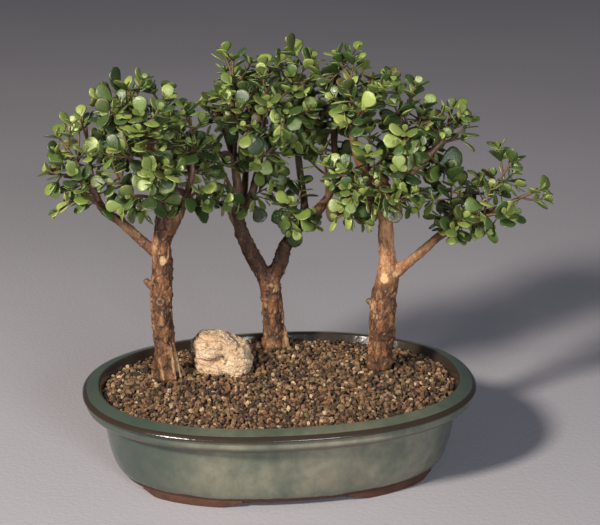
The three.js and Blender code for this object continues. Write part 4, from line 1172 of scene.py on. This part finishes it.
def planShoot(spray, pair, face, number):
    share = spray.shares[pair]
    frameHere = spray.frameAt(share)
    root, along, _, _ = frameHere
    out, _ = wayOut(frameHere, math.radians(90 * face), math.radians(growth["shootSpread"]))
    for size in growth["shootTries"]:
        length = size * lerp(*growth["shootLength"], share)
        end = root + out * (growth["shootReach"] * length) + up * (growth["shootRise"] * length)
        curve = Bend(root, root + out * (0.5 * length), end)
        chosen = np.flatnonzero(lines.owners[:lines.count] != spray.number)
        reach = lines.distances(np.array(curve.stops[2:]), chosen)
        if np.all(reach > lines.radii[chosen] + growth["shootClearance"]):
            side = unit(np.cross(along, out))
            shares = pairShares(growth["shootPairs"], growth["shootFirstPair"])
            return Stem(curve, side, shares, growth["shootHalfWidth"], number, spray, pair, face)
    return None


def planShoots(spray):
    for pair in range(len(spray.shares) - 1):
        if len(spray.shoots) == growth["shoots"]:
            break
        first = pair + (0 if spray.random() < 0.5 else 2)
        number = 10 * spray.number + len(spray.shoots)
        shoot = planShoot(spray, pair, first % 4, number) or planShoot(spray, pair, (first + 2) % 4, number)
        if shoot:
            spray.shoots.append(shoot)
            lines.add(shoot.curve.stops, growth["shootHalfWidth"][0], shoot.number)


# How far a leaf rolls about its own length to lie level
def levelling(out, normal, rule):
    sky = up - (up @ out) * out
    turn = math.atan2(np.cross(normal, sky) @ out, normal @ sky)
    most = math.radians(rule["levelMost"])
    return math.sqrt(sky @ sky) * min(max(rule["levelShare"] * turn, -most), most)


# One leaf, where it clears all others. The rule says how near it may come and how level it lies.
def placeLeaf(stem, share, face, size, random, rule):
    frameHere = stem.frameAt(share)
    shrink = lerp(*leafRule["shrink"], share * share)
    length = size * leafRule["length"] * shrink * lerp(*leafRule["sizes"], random())
    spread = lerp(*leafRule["spread"], share) + leafRule["spreadPlay"] * lerp(-1, 1, random())
    turn = math.radians(90 * face + leafRule["turnPlay"] * lerp(-1, 1, random()))
    roll = math.radians(leafRule["rollPlay"] * lerp(-1, 1, random()))
    for tilt, scale in leafRule["tries"]:
        out, normal = wayOut(frameHere, turn, math.radians(max(spread + tilt, leafRule["leastSpread"])))
        normal = rotated(normal, out, roll + levelling(out, normal, rule))
        across = np.cross(normal, out)
        disc = leafDisc(frameHere[0], out, across, normal, length * scale, stem)
        if discIsClear(disc, rule):
            discs.add(disc)
            stem.leaves.append({"root": frameHere[0], "out": out, "across": across, "normal": normal,
                                "length": length * scale, "share": share})
            break


def placeLeaves(stem, size, random, rule):
    for pair, share in enumerate(stem.shares):
        taken = [shoot.face for shoot in stem.shoots if shoot.pair == pair]
        for face in (pair % 4, (pair + 2) % 4):
            if face not in taken:
                placeLeaf(stem, share, face, size, random, rule)
    for shoot in stem.shoots:
        placeLeaves(shoot, size * leafRule["shootSize"], random, rule)


sprays = {}
number = growth["spraySeed"]
for order, (treeName, tree) in enumerate(trees.items()):
    sprays[treeName] = []
    for rows in tree["limbs"].values():
        for here, there in zip(rows, rows[1:]):
            ends = [np.array(row[:3], dtype=float) for row in (here, there)]
            lines.add(ends, max(here[3], there[3]), order)
    for limbName, tips in tree["tips"].items():
        for tip in tips:
            number += 1
            spray = planSpray(tree, limbName, tip, number)
            sprays[treeName].append(spray)
            lines.add([spray.twig.start, spray.twig.end], growth["twigRadius"][0], order)
            lines.add(spray.curve.stops, growth["stemHalfWidth"][0], number)
allSprays = [spray for group in sprays.values() for spray in group]
for spray in allSprays:
    planShoots(spray)
for spray in allSprays:
    placeLeaves(spray, 1, spray.random, leafRule)
print("sprays planned,", discs.count, "leaves")

# The studio. Its camera comes first, because some gaps in the crowns are kept open for it.
studio = {
    "floorSize": 14, "aim": 0.13,  # the lights aim at a point above the pot's middle
    "lights": {
        "keyLight": {"way": (-1.24, -1.02, 1.0), "away": 1.9, "size": 0.3, "power": 61,
                     "colour": (1, 0.93, 0.84)},
        "fillLight": {"way": (0.22, -1.0, 0.3), "away": 2.2, "size": 0.6, "power": 32,
                      "colour": (0.85, 0.9, 1)},
    },
    "worldColour": (0.60, 0.62, 0.74), "worldStrength": 0.15,
    "eye": (-138.9, -1016.4, 453.9), "look": (0.1411, 0.9444, -0.2969), "lens": 102.24, "sensor": 36,
    "clip": (0.05, 60),
}

# More side shoots with smaller leaves fill the crowns
fillRule = {
    "tries": 1000, "seed": 9000, "thinSeed": 9010, "length": (7, 15), "spread": (38, 78), "reach": 0.92,
    "rise": 0.3, "halfWidth": (0.6, 0.4), "clearance": 0.9, "leafTouch": 0.4, "touchBulge": 0.6, "edgeGap": 5,
    "leafSize": (0.6, 0.95), "betweenSize": (0.55, 0.85), "leafGap": 0.1, "leafBulge": 0.7, "leastLeaves": 2,
    "levelShare": 0.95, "levelMost": 80, "pairs": (2, 3), "fewPairs": 0.55, "firstPair": 0.35,
    "leastBearer": 4, "underBearer": 4, "underTip": 7,
    # where shoots may start along each kind of bearer
    "onTwig": (0.35, 1.0), "onStem": (0.0, 0.7), "onShoot": (0.1, 0.9), "onFiller": (0.2, 0.8),
    # gaps that show in the crowns: a point in each, and how wide it is
    "windows": [((27, 55, 182), 13), ((-41, 30, 215), 6.5), ((-30, 50, 206), 5.5), ((-3, 60, 143), 11),
                ((110, 5, 198), 6), ((-113, 15, 205), 5)],
    # thin places that extra shoots grow towards
    "thin": {
        "left": [(-65, 14, 175), (-99, 14, 170), (-87, 14, 172), (-105, 14, 243), (-66, 14, 243)],
        "centre": [(6, 60, 207), (-2, 60, 170), (5, 60, 174), (-31, 60, 163), (14, 60, 194), (25, 60, 198),
                   (20, 60, 255), (14, 60, 200), (7, 60, 192), (2, 60, 163)],
        "right": [(94, 8, 178), (51, 8, 160), (138, 8, 154), (58, 8, 161), (112, 8, 192), (89, 8, 169),
                  (46, 8, 268), (142, 8, 169), (100, 8, 178), (131, 8, 153), (54, 8, 212), (40, 8, 158)],
    },
    "thinTries": 8, "thinReach": (6, 32), "thinPlay": 5, "thinLeafSize": (0.75, 1.05), "thinChoice": 4,
    "thinArch": 0.1, "thinLong": 14, "thinBeyond": 999,
    # shoots are numbered from here on, with so many numbers for each tree
    "thinNumber": 200000, "fillNumber": 100000, "treeNumbers": 1000,
}


def touchesLeaves(points, gap):
    count = discs.count
    bulge = leafRule["leafBulge"] * fillRule["touchBulge"]
    offsets = points[:, None, :] - discs.centres[None, :count]
    heights = np.abs((offsets * discs.normals[:count]).sum(2))
    away = np.sqrt(np.maximum((offsets * offsets).sum(2) - heights * heights, 0))
    return bool(np.any((heights < bulge + gap) & (away < discs.radii[:count] + gap)))


# Leaves between the pairs of a stem, an eighth of a turn from them
def placeBetween(stem, random):
    for pair, (share, later) in enumerate(zip(stem.shares, stem.shares[1:])):
        for face in (pair % 4 + 0.5, (pair + 2) % 4 + 0.5):
            size = lerp(*fillRule["betweenSize"], random())
            placeLeaf(stem, lerp(share, later, 0.5), face, size, random, fillRule)


# True where a leaf or shoot would close a gap, seen along the camera's line through it
def inWindow(point):
    for middle, radius in fillRule["windows"]:
        sight = unit(np.array(middle) - studio["eye"])
        offset = point - middle
        if np.linalg.norm(offset - (offset @ sight) * sight) < radius:
            return True
    return False


def growFiller(line, pairs, size, rollSide, number, random):
    late, end = np.array(line.stops[2:]), line.end
    chosen = np.arange(lines.count)
    reach = lines.distances(late, chosen)
    if np.any(reach < lines.radii[chosen] + fillRule["clearance"]):
        return None
    if touchesLeaves(late, fillRule["leafTouch"]):
        return None
    gap = fillRule["edgeGap"]
    if np.any(late < boxLow + gap) or np.any(late > boxHigh - gap) or inWindow(line.middle) or inWindow(end):
        return None
    side = rotated(sideOf(line.direction(0.5)), line.direction(0.5), rollSide)
    stem = Stem(line, side, pairShares(pairs, fillRule["firstPair"]), fillRule["halfWidth"], number)
    before = discs.count
    placeLeaves(stem, size, random, fillRule)
    if len(stem.leaves) < fillRule["leastLeaves"]:
        discs.count = before
        return None
    placeBetween(stem, random)
    lines.add(line.stops, fillRule["halfWidth"][0], stem.number)
    return stem


# Shoots from the nearest wood or stem to the line of sight through a thin place
def fillThinPlaces(treeName, firstNumber, bearers, random):
    rule = fillRule
    made = []
    starts = np.array([curve.point(lerp(low, high, share)) for curve, low, high, _ in bearers
                       for share in (0, 0.5, 1)])
    for place in rule["thin"][treeName]:
        sight = unit(np.array(place) - studio["eye"])
        for _ in range(rule["thinTries"]):
            target = place + np.array([random() - 0.5 for _ in range(3)]) * (2 * rule["thinPlay"])
            feet = target + np.outer((starts - target) @ sight, sight)
            reach = np.linalg.norm(feet - starts, axis=1)
            byReach = np.argsort(np.where(reach > rule["thinReach"][0], reach, rule["thinBeyond"]))
            near = byReach[int(rule["thinChoice"] * random())]
            size, rollSide = lerp(*rule["thinLeafSize"], random()), 2 * math.pi * random()
            if reach[near] > rule["thinReach"][1]:
                continue
            root, end = starts[near], feet[near]
            line = Bend(root, lerp(root, end, 0.5) + up * (rule["thinArch"] * reach[near]), end)
            pairs = rule["pairs"][0 if reach[near] < rule["thinLong"] else 1]
            stem = growFiller(line, pairs, size, rollSide, firstNumber + len(made), random)
            if stem:
                made.append(stem)
    return made


def fillCrown(treeName, order):
    rule = fillRule
    random = seededRandom(rule["seed"] + order)
    for spray in sprays[treeName]:
        for stem in (spray, *spray.shoots):
            placeBetween(stem, random)
    # What bears a filling shoot: its line, where it may start, and the heights that it stays between
    bearers = []
    for spray in sprays[treeName]:
        heights = (spray.curve.start[2] - rule["underBearer"], spray.curve.end[2] - rule["underTip"])
        bearers.extend([(spray.twig, *rule["onTwig"], heights), (spray.curve, *rule["onStem"], heights)])
        bearers.extend((shoot.curve, *rule["onShoot"], heights) for shoot in spray.shoots)
    shift = rule["treeNumbers"] * order
    thinRandom = seededRandom(rule["thinSeed"] + order)
    made = fillThinPlaces(treeName, rule["thinNumber"] + shift, bearers, thinRandom)
    print("thin places of the", treeName, "tree:", len(made), "shoots")
    for attempt in range(rule["tries"]):
        curve, low, high, heights = bearers[int(random() * len(bearers))]
        share = lerp(low, high, random())
        turn, spread = 2 * math.pi * random(), math.radians(lerp(*rule["spread"], random()))
        length = lerp(*rule["length"], random())
        pairs = rule["pairs"][0 if random() < rule["fewPairs"] else 1]
        size = lerp(*rule["leafSize"], random())
        rollSide = 2 * math.pi * random()
        if curve.length < rule["leastBearer"]:
            continue
        root, along = curve.point(share), curve.direction(share)
        across = sideOf(along)
        out, _ = wayOut((root, along, across, np.cross(along, across)), turn, spread)
        end = root + out * (rule["reach"] * length) + up * (rule["rise"] * length * 0.5)
        line = Bend(root, root + out * (0.5 * length), end)
        if heights[0] < end[2] < heights[1]:
            stem = growFiller(line, pairs, size, rollSide, rule["fillNumber"] + shift + attempt, random)
            if stem:
                made.append(stem)
                bearers.append((line, *rule["onFiller"], heights))
    return made


fillers = {treeName: fillCrown(treeName, order) for order, treeName in enumerate(trees)}
print("crowns filled,", {name: len(stems) for name, stems in fillers.items()}, discs.count, "leaves in all")

# One leaf: stations from its root to its tip, and the section that each of them carries
leafShape = {
    "stations": (0.0, 0.1, 0.25, 0.43, 0.62, 0.79, 0.93, 1.02),
    "halfWidths": (0.05, 0.085, 0.2, 0.33, 0.41, 0.405, 0.275, 0.04),
    "widths": (0.86, 1.06),
    "section": ((-1, 0), (-0.8, 0.6), (-0.3, 0.96), (0.3, 0.96), (0.8, 0.6), (1, 0), (0.6, -0.7),
                (-0.6, -0.7)),
    "thickness": 0.105, "leastFullness": 0.25, "cup": (-0.1, 0.5), "curl": (-0.1, 0.2), "twist": 0.3,
    "lean": 0.035, "shrinks": (1, 0.93, 0.86, 0.78, 0.7, 0.6, 0.5), "seed": 77,
    # the rim across and at the tip, and where it starts along the leaf
    "rimAcross": (0.75, 0.95), "rimTip": (0.9, 0.97), "rimStart": (0.1, 0.35),
    "youngFrom": 0.35, "youngMost": 0.9,
    # the pair of small new leaves at a tip: how far they spread, their length, tone and youth, and how far in
    "tipSpread": (28, 52), "tipLength": (4.2, 6.8), "tipTone": (0.4, 0.9), "tipYoung": (0.5, 1),
    "tipSunk": 0.3,
}
stemShape = {
    "from": -0.02, "stations": 9, "swell": 1.05, "tipFrom": 0.97, "tipSwell": 0.5, "sides": 6,
    "fillerSides": 5, "tone": 0.5,
}
leafFaces = loftFaces(len(leafShape["stations"]), len(leafShape["section"]))
leafStations = np.repeat(leafShape["stations"], len(leafShape["section"]))
leafHalfWidths = np.repeat(leafShape["halfWidths"], len(leafShape["section"]))
leafSection = np.tile(leafShape["section"], (len(leafShape["stations"]), 1))
leafRim = ramp(np.abs(leafSection[:, 0]), *leafShape["rimAcross"]) + ramp(leafStations, *leafShape["rimTip"])
leafRim = np.clip(leafRim, 0, 1) * ramp(leafStations, *leafShape["rimStart"])


def leafPoints(leaf, random):
    shape = leafShape
    cup, curl = lerp(*shape["cup"], random()), lerp(*shape["curl"], random())
    twist = shape["twist"] * (random() - 0.5)
    y = leafSection[:, 0] * leafHalfWidths * lerp(*shape["widths"], random())
    fullness = np.maximum(np.sqrt(leafHalfWidths / max(shape["halfWidths"])), shape["leastFullness"])
    z = leafSection[:, 1] * shape["thickness"] * 0.5 * fullness
    z = z + cup * y * y + twist * y * leafStations * leafStations - curl * leafStations ** 2
    z = z + shape["lean"] * leafStations
    for shrink in shape["shrinks"]:
        points = leaf["root"] + leaf["length"] * shrink * (
            np.outer(leafStations, leaf["out"]) + np.outer(y, leaf["across"]) + np.outer(z, leaf["normal"]))
        if np.all(points > boxLow) and np.all(points < boxHigh):
            return points
    return None


def addStem(heap, stem, sides):
    shape = stemShape
    shares = np.linspace(shape["from"], 1.0, shape["stations"])
    points = [stem.curve.point(share) for share in shares]
    swells = [shape["swell"] if share < shape["tipFrom"] else shape["tipSwell"] for share in shares]
    radii = [lerp(*stem.halfWidth, max(share, 0)) * swell for share, swell in zip(shares, swells)]
    heap.add(*tube(points, radii, sides, stem.side), material=1, rim=0, tone=shape["tone"], young=0)


# The leaves of a stem and the pair at its tip, and how many there are
def addLeaves(heap, stem, random):
    shape = leafShape
    count = 0
    for leaf in stem.leaves:
        points = leafPoints(leaf, random)
        tone = random()
        if points is not None:
            young = max(0.0, leaf["share"] - shape["youngFrom"]) * shape["youngMost"] * random()
            heap.add(points, leafFaces, rim=leafRim, tone=tone, young=young)
            count += 1
    frameHere = stem.frameAt(1)
    turn = math.radians(90 * len(stem.shares))
    for face in (0, math.pi):
        out, normal = wayOut(frameHere, turn + face, math.radians(lerp(*shape["tipSpread"], random())))
        leaf = {"root": frameHere[0] - frameHere[1] * shape["tipSunk"], "out": out, "normal": normal,
                "across": np.cross(normal, out), "length": lerp(*shape["tipLength"], random())}
        points = leafPoints(leaf, random)
        if points is not None:
            tone, young = lerp(*shape["tipTone"], random()), lerp(*shape["tipYoung"], random())
            heap.add(points, leafFaces, rim=leafRim, tone=tone, young=young)
            count += 1
    return count


def makeLeaves(treeName, order):
    random = seededRandom(leafShape["seed"] + order)
    heap, count = Heap(), 0
    grown = [(stem, stemShape["sides"]) for spray in sprays[treeName] for stem in (spray, *spray.shoots)]
    grown.extend((stem, stemShape["fillerSides"]) for stem in fillers[treeName])
    for stem, sides in grown:
        addStem(heap, stem, sides)
        count += addLeaves(heap, stem, random)
    leaves = heap.makeObject("leaves" + treeName.capitalize())
    nodes = [f"spray_{treeName}_{index + 1:02d}" for index in range(len(sprays[treeName]))]
    finishPiece(leaves, [leafSkin, greenStem], nodes)
    print("leaves of the", treeName, "tree:", count, "with", len(leaves.data.polygons), "faces")


for order, treeName in enumerate(trees):
    makeLeaves(treeName, order)

# Wood
woodShape = {
    "voxel": 0.68, "smooth": 4, "limbSides": 18, "twigSides": 10, "step": 2.0, "twigRadius": (1.85, 1.2),
    "twigStep": 3, "rootBottom": 26, "rootRadius": 8.4, "rootLap": 1, "limbShift": 37, "seed": 500,
    # between which radii bark turns old, and the height that it starts from
    "oldRadius": (1.9, 4.2), "barkFrom": 50,
    # each noise: its size and its shift
    "lumpNoise": (8.5, 0), "smallLumpNoise": (4.0, 0), "warpNoise": (5.0, 30), "ringPatches": (7.0, 70),
    "crackPatches": (6.0, 90), "fineNoise": (1.25, 120), "plateWarp": (3.0, 9.0),
    "lump": 0.10, "smallLumps": 0.5, "fine": 0.16, "fineStretch": 0.6, "fineShare": (0.4, 1),
    "ring": 0.45, "ringPitch": 6.2, "ringWander": 2.5, "ringEdge": (0.2, 0.0), "ringCover": (-0.3, 0.2),
    "plateSize": 4.4, "plateStretch": 0.5, "plateWander": 1.1, "plateLift": 0.7,
    "crack": 0.6, "crackEdge": (0.16, 0.0), "crackCover": (-0.45, 0.0), "crackDark": 0.9,
    # how much calmer bark is on roots, and how much fainter its cracks are there and on smooth bark
    "rootCalm": 0.6, "rootCracks": 0.7, "smoothCracks": 0.6,
    "fluteWander": 2.2, "fluteTwist": 0.04, "fluteHeights": (84, 64), "paleHeights": (82, 66),
    "toneWander": 3, "twigShade": 0.6,
    # knots besides the marked ones
    "knotsMost": 3, "knotSize": (1.5, 2.3), "knotHeights": (66, 150), "knotOut": 0.7,
}
# Across a knot, in shares of its radius: the swelling, the dimple in it, the dark heart and collar, and
# the pale rim
knotShape = {
    "swell": (1.5, 0.5), "dimple": 0.5, "dimpleEdge": (0.5, 0.1), "heart": 0.7, "heartEdge": (0.45, 0.15),
    "collar": 0.4, "collarAt": 1.3, "collarEdge": (0.3, 0.05),
    "rim": 0.25, "rimAt": 0.8, "rimEdge": (0.35, 0.1),
}
scarShape = {"stretch": 0.8, "ragged": 0.25, "edge": (1.1, 0.75), "flat": 0.8}
# Marks that show: x, y, z, radius and how far each stands out
knots = {
    "left": [(-75.5, 7, 110, 2.6, 0.9), (-80.5, 11, 92, 2.0, 0.8)],
    "centre": [(1, 54, 101, 2.6, 0.5)],
    "right": [(60.5, 5, 101, 2.3, 1.2), (61, 4, 95, 2.0, 0.9), (76.5, 4, 101, 1.9, 0.9)],
}
# Pale cut scars: x, y, z, radius and how pale
scars = {
    "left": [(-73, 7, 137, 2.6, 0.8)],
    "centre": [(5, 54.5, 100, 2.4, 0.6)],
    "right": [(67.5, 1.5, 121, 3.0, 1.1), (75, 1, 123, 2.0, 0.7)],
}
rootPaleness = {"left": 0.5, "centre": 0.15, "right": 0}
# Where bark turns lighter (above 0: partly smooth young bark, partly painted light) and where darker (below
# 0: painted shade under the crown): between which heights it sets in, how much
barkLightAndShade = {"left": (150, 175, -0.3), "centre": (104, 116, -0.55), "right": (112, 128, 0.9)}
# Round the foot of each trunk: how many ridges, how high, and how much slimmer it gets
flutes = {"left": (7, 0.5, 0.4), "centre": (6, 0.4, 0.3), "right": (8, 0.8, 1.2)}
# Surface roots that run down the foot of a trunk: rows of x, y, z and radius
surfaceRoots = {
    "left": [
        [(-69.2, 8.9, 80, 0.7), (-68.4, 7.9, 73, 1.0), (-67.2, 6.4, 63, 1.1), (-66.4, 5.4, 56, 0.9)],
        [(-67.6, 10.8, 84, 0.7), (-66.2, 9.6, 74, 1.1), (-64.2, 8.2, 64, 1.2), (-62.8, 7.4, 56, 1.0)],
        [(-67.2, 15, 74, 0.8), (-64.6, 14.2, 66, 1.2), (-61.6, 13.2, 60, 1.1), (-59.5, 12.6, 55, 0.9)],
    ],
    "centre": [
        [(10.6, 58.5, 72, 1.0), (12, 57.5, 63, 1.4), (13.4, 56.5, 56, 1.2)],
    ],
    "right": [],
}


# Points every couple of millimetres along a limb, on a smooth line through its rows
def fineRows(rows, step):
    rows = np.array(rows, dtype=float)
    padded = np.vstack([2 * rows[0] - rows[1], rows, 2 * rows[-1] - rows[-2]])
    made = []
    for index in range(len(rows) - 1):
        p0, p1, p2, p3 = padded[index:index + 4]
        count = max(2, round(math.dist(p1[:3], p2[:3]) / step))
        for share in np.arange(count) / count:
            made.append(0.5 * (2 * p1 + (p2 - p0) * share + (2 * p0 - 5 * p1 + 4 * p2 - p3) * share ** 2
                               + (3 * p1 - p0 - 3 * p2 + p3) * share ** 3))
    made.append(rows[-1])
    return np.array(made)


# Tubes for the trunk, limbs, twigs and roots, and their middle lines as x, y, z, radius, way travelled and
# 1 on roots
def growWood(heap, treeName, tree):
    shape = woodShape
    spine = []
    limbs = [(rows, 0) for rows in tree["limbs"].values()] + [(rows, 1) for rows in surfaceRoots[treeName]]
    for rows, isRoot in limbs:
        fine = fineRows(rows, shape["step"])
        points, radii = fine[:, :3], fine[:, 3]
        heap.add(*tube(points, radii, shape["limbSides"], sideOf(unit(points[1] - points[0]))))
        travel = np.concatenate([[0], np.cumsum(np.linalg.norm(np.diff(points, axis=0), axis=1))])
        roots = np.full(len(points), isRoot)
        spine.append(np.column_stack([points, radii, travel + shape["limbShift"] * len(spine), roots]))
    for spray in sprays[treeName]:
        twig = spray.twig
        shares = np.linspace(0, 1, max(3, round(twig.length / shape["twigStep"])))
        points = [twig.point(share) for share in shares]
        radii = lerp(*shape["twigRadius"], shares)
        heap.add(*tube(points, radii, shape["twigSides"], sideOf(twig.direction(0))))
        spine.append(np.column_stack([points, radii, shares * twig.length, np.zeros(len(points))]))
    rootX, rootY, rootZ, _ = tree["limbs"]["trunk"][0]
    plug = [np.array([rootX, rootY, height], dtype=float)
            for height in (shape["rootBottom"], rootZ + shape["rootLap"])]
    heap.add(*tube(plug, [shape["rootRadius"]] * 2, shape["limbSides"], np.array([1.0, 0, 0])))
    return np.concatenate(spine)


# For each point, the row of the spine whose limb is nearest, in parts that fit in memory
def nearestOn(spine, points, most=4000):
    nearest = np.empty(len(points), dtype=int)
    for start in range(0, len(points), most):
        part = points[start:start + most]
        reach = np.linalg.norm(part[:, None] - spine[None, :, :3], axis=2) - spine[None, :, 3]
        nearest[start:start + most] = reach.argmin(1)
    return nearest


# The marked knots and some more round the trunk, where old shoots have dropped off
def allKnots(treeName, trunk, random):
    shape = woodShape
    made = list(knots[treeName])
    rows = fineRows(trunk, shape["step"])
    low, high = shape["knotHeights"]
    for _ in range(shape["knotsMost"]):
        x, y, z, reach = rows[int(random() * len(rows))]
        angle = 2 * math.pi * random()
        radius = lerp(*shape["knotSize"], random())
        if low < z < high:
            x, y = x + reach * math.cos(angle), y + reach * math.sin(angle)
            made.append((x, y, z, radius, shape["knotOut"]))
    return made


def barkNoise(points, name, offset):
    size, shift = woodShape[name]
    return noiseAt(points, size, offset + shift)


# Flaking plates with cracks between them, level rings, knots and cut scars
def carveBark(mesh, spine, treeName, trunk, random):
    shape = woodShape
    points, ways = positions(mesh), normals(mesh)
    heights = points[:, 2]
    nearest = nearestOn(spine, points)
    radius, travel, onRoot = spine[nearest, 3], spine[nearest, 4], spine[nearest, 5]
    age = np.maximum(ramp(radius, *shape["oldRadius"]), onRoot)
    offset = 100 * random()
    lumps = barkNoise(points, "lumpNoise", offset)
    lumps = lumps + shape["smallLumps"] * barkNoise(points, "smallLumpNoise", offset)
    warp = barkNoise(points, "warpNoise", offset)
    rings = (travel + shape["ringWander"] * warp) / shape["ringPitch"] % 1
    rings = ramp(np.abs(rings - 0.5), *shape["ringEdge"])
    rings = rings * ramp(barkNoise(points, "ringPatches", offset), *shape["ringCover"])
    wander = shape["plateWander"] * noiseAt(points, *shape["plateWarp"])[:, None]
    near, tones = cellAt((points + wander) * (1, 1, shape["plateStretch"]), shape["plateSize"], offset)
    cracks = ramp(near[:, 1] - near[:, 0], *shape["crackEdge"])
    cracks = cracks * ramp(barkNoise(points, "crackPatches", offset), *shape["crackCover"])
    fine = barkNoise(points * (1, 1, shape["fineStretch"]), "fineNoise", offset)
    lift = shape["lump"] * radius * lumps
    lift = lift + age * (shape["ring"] * rings - shape["crack"] * cracks + shape["plateLift"] * (tones - 0.5))
    lift = lift + shape["fine"] * fine * lerp(*shape["fineShare"], age)
    lift = lift * (1 - shape["rootCalm"] * onRoot)
    count, height, slimmer = flutes[treeName]
    angles = np.arctan2(points[:, 1] - trunk[0][1], points[:, 0] - trunk[0][0])
    ridges = np.cos(count * angles + shape["fluteWander"] * warp + shape["fluteTwist"] * heights)
    lift = lift + (height * ridges - slimmer * (1 - onRoot)) * ramp(heights, *shape["fluteHeights"])
    cavityAndShade = shape["crackDark"] * cracks * age * (1 - shape["rootCracks"] * onRoot)
    low, high, tone = barkLightAndShade[treeName]
    above = ramp(heights + shape["toneWander"] * warp, low, high)
    # where the bark is painted darker, the twigs take part of that painted shade too
    above = above * np.maximum(age, shape["twigShade"] if tone < 0 else 0)
    # painted light on the right tree's upper trunk, along with its smooth young bark
    young = max(tone, 0) * above
    # painted shade: the upper trunk and limbs of the left and centre trees are darker
    cavityAndShade = np.maximum(cavityAndShade * (1 - shape["smoothCracks"] * young), max(-tone, 0) * above)
    pale = rootPaleness[treeName] * onRoot * ramp(heights, *shape["paleHeights"])
    knot, cut = knotShape, scarShape
    for x, y, z, size, out in allKnots(treeName, trunk, random):
        away = np.linalg.norm(points - (x, y, z), axis=1) / size
        lift = lift + out * (ramp(away, *knot["swell"]) - knot["dimple"] * ramp(away, *knot["dimpleEdge"]))
        heart = knot["heart"] * ramp(away, *knot["heartEdge"])
        collar = knot["collar"] * ramp(np.abs(away - knot["collarAt"]), *knot["collarEdge"])
        cavityAndShade = np.maximum(cavityAndShade, np.maximum(heart, collar))
        pale = np.maximum(pale, knot["rim"] * ramp(np.abs(away - knot["rimAt"]), *knot["rimEdge"]))
    for x, y, z, size, strength in scars[treeName]:
        away = np.linalg.norm((points - (x, y, z)) * (1, 1, cut["stretch"]), axis=1) / size
        scar = ramp(away + cut["ragged"] * fine, *cut["edge"])
        pale = np.maximum(pale, strength * scar)
        cavityAndShade = cavityAndShade * (1 - scar)
        lift = lift * (1 - cut["flat"] * scar)
    setPositions(mesh, points + ways * (lift * (heights > shape["barkFrom"]))[:, None])
    for name, values in (("age", age), ("cavityAndShade", np.clip(cavityAndShade, 0, 1)), ("plate", tones), ("pale", pale),
                         ("young", young)):
        setValues(mesh, name, values)


def makeWood(treeName, tree, order):
    random = seededRandom(woodShape["seed"] + order)
    heap = Heap()
    spine = growWood(heap, treeName, tree)
    wood = heap.makeObject("wood" + treeName.capitalize())
    fuseSkin(wood, woodShape["voxel"], woodShape["smooth"])
    carveBark(wood.data, spine, treeName, tree["limbs"]["trunk"], random)
    wood.data.shade_smooth()
    finishPiece(wood, [bark], ["tree_" + treeName])
    print("wood of the", treeName, "tree:", len(wood.data.polygons), "faces")


for order, (treeName, tree) in enumerate(trees.items()):
    makeWood(treeName, tree, order)

# The pieces of the frame that stay as they are, under the stones
for nodeName, material in (("soil", soilLook), ("drain_mesh", plastic)):
    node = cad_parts[nodeName]
    for slotIndex in range(len(node.material_slots)):
        node.material_slots[slotIndex].material = material


# Floor, light and camera
def areaLight(name, look):
    light = bpy.data.lights.new(name, "AREA")
    light.size, light.energy, light.color, light.shape = look["size"], look["power"], look["colour"], "DISK"
    lamp = bpy.data.objects.new(name, light)
    bpy.context.scene.collection.objects.link(lamp)
    direction = Vector(look["way"]).normalized()
    lamp.location = Vector(potMiddle) + Vector((0, 0, studio["aim"])) + direction * look["away"]
    lamp.rotation_euler = direction.to_track_quat("Z", "Y").to_euler()


half = studio["floorSize"] / 2
floorMesh = bpy.data.meshes.new("floor")
corners = [(-half, -half, 0), (half, -half, 0), (half, half, 0), (-half, half, 0)]
floorMesh.from_pydata(corners, [], [(0, 1, 2, 3)])
floorMesh.materials.append(paleFloor)
makeObject("floor", floorMesh)
for name, look in studio["lights"].items():
    areaLight(name, look)
world = bpy.data.worlds.new("studioAir")
bpy.context.scene.world = world
world.use_nodes = True
world.node_tree.nodes["Background"].inputs[0].default_value = (*studio["worldColour"], 1)
world.node_tree.nodes["Background"].inputs[1].default_value = studio["worldStrength"]
camera = bpy.data.objects.new("camera", bpy.data.cameras.new("camera"))
bpy.context.scene.collection.objects.link(camera)
camera.location = Vector(toFrame(studio["eye"]))
camera.rotation_euler = Vector(studio["look"]).to_track_quat("-Z", "Y").to_euler()
camera.data.lens, camera.data.sensor_width = studio["lens"], studio["sensor"]
camera.data.clip_start, camera.data.clip_end = studio["clip"]
bpy.context.scene.camera = camera
bpy.context.scene.view_settings.view_transform = "Standard"
print("studio ready")
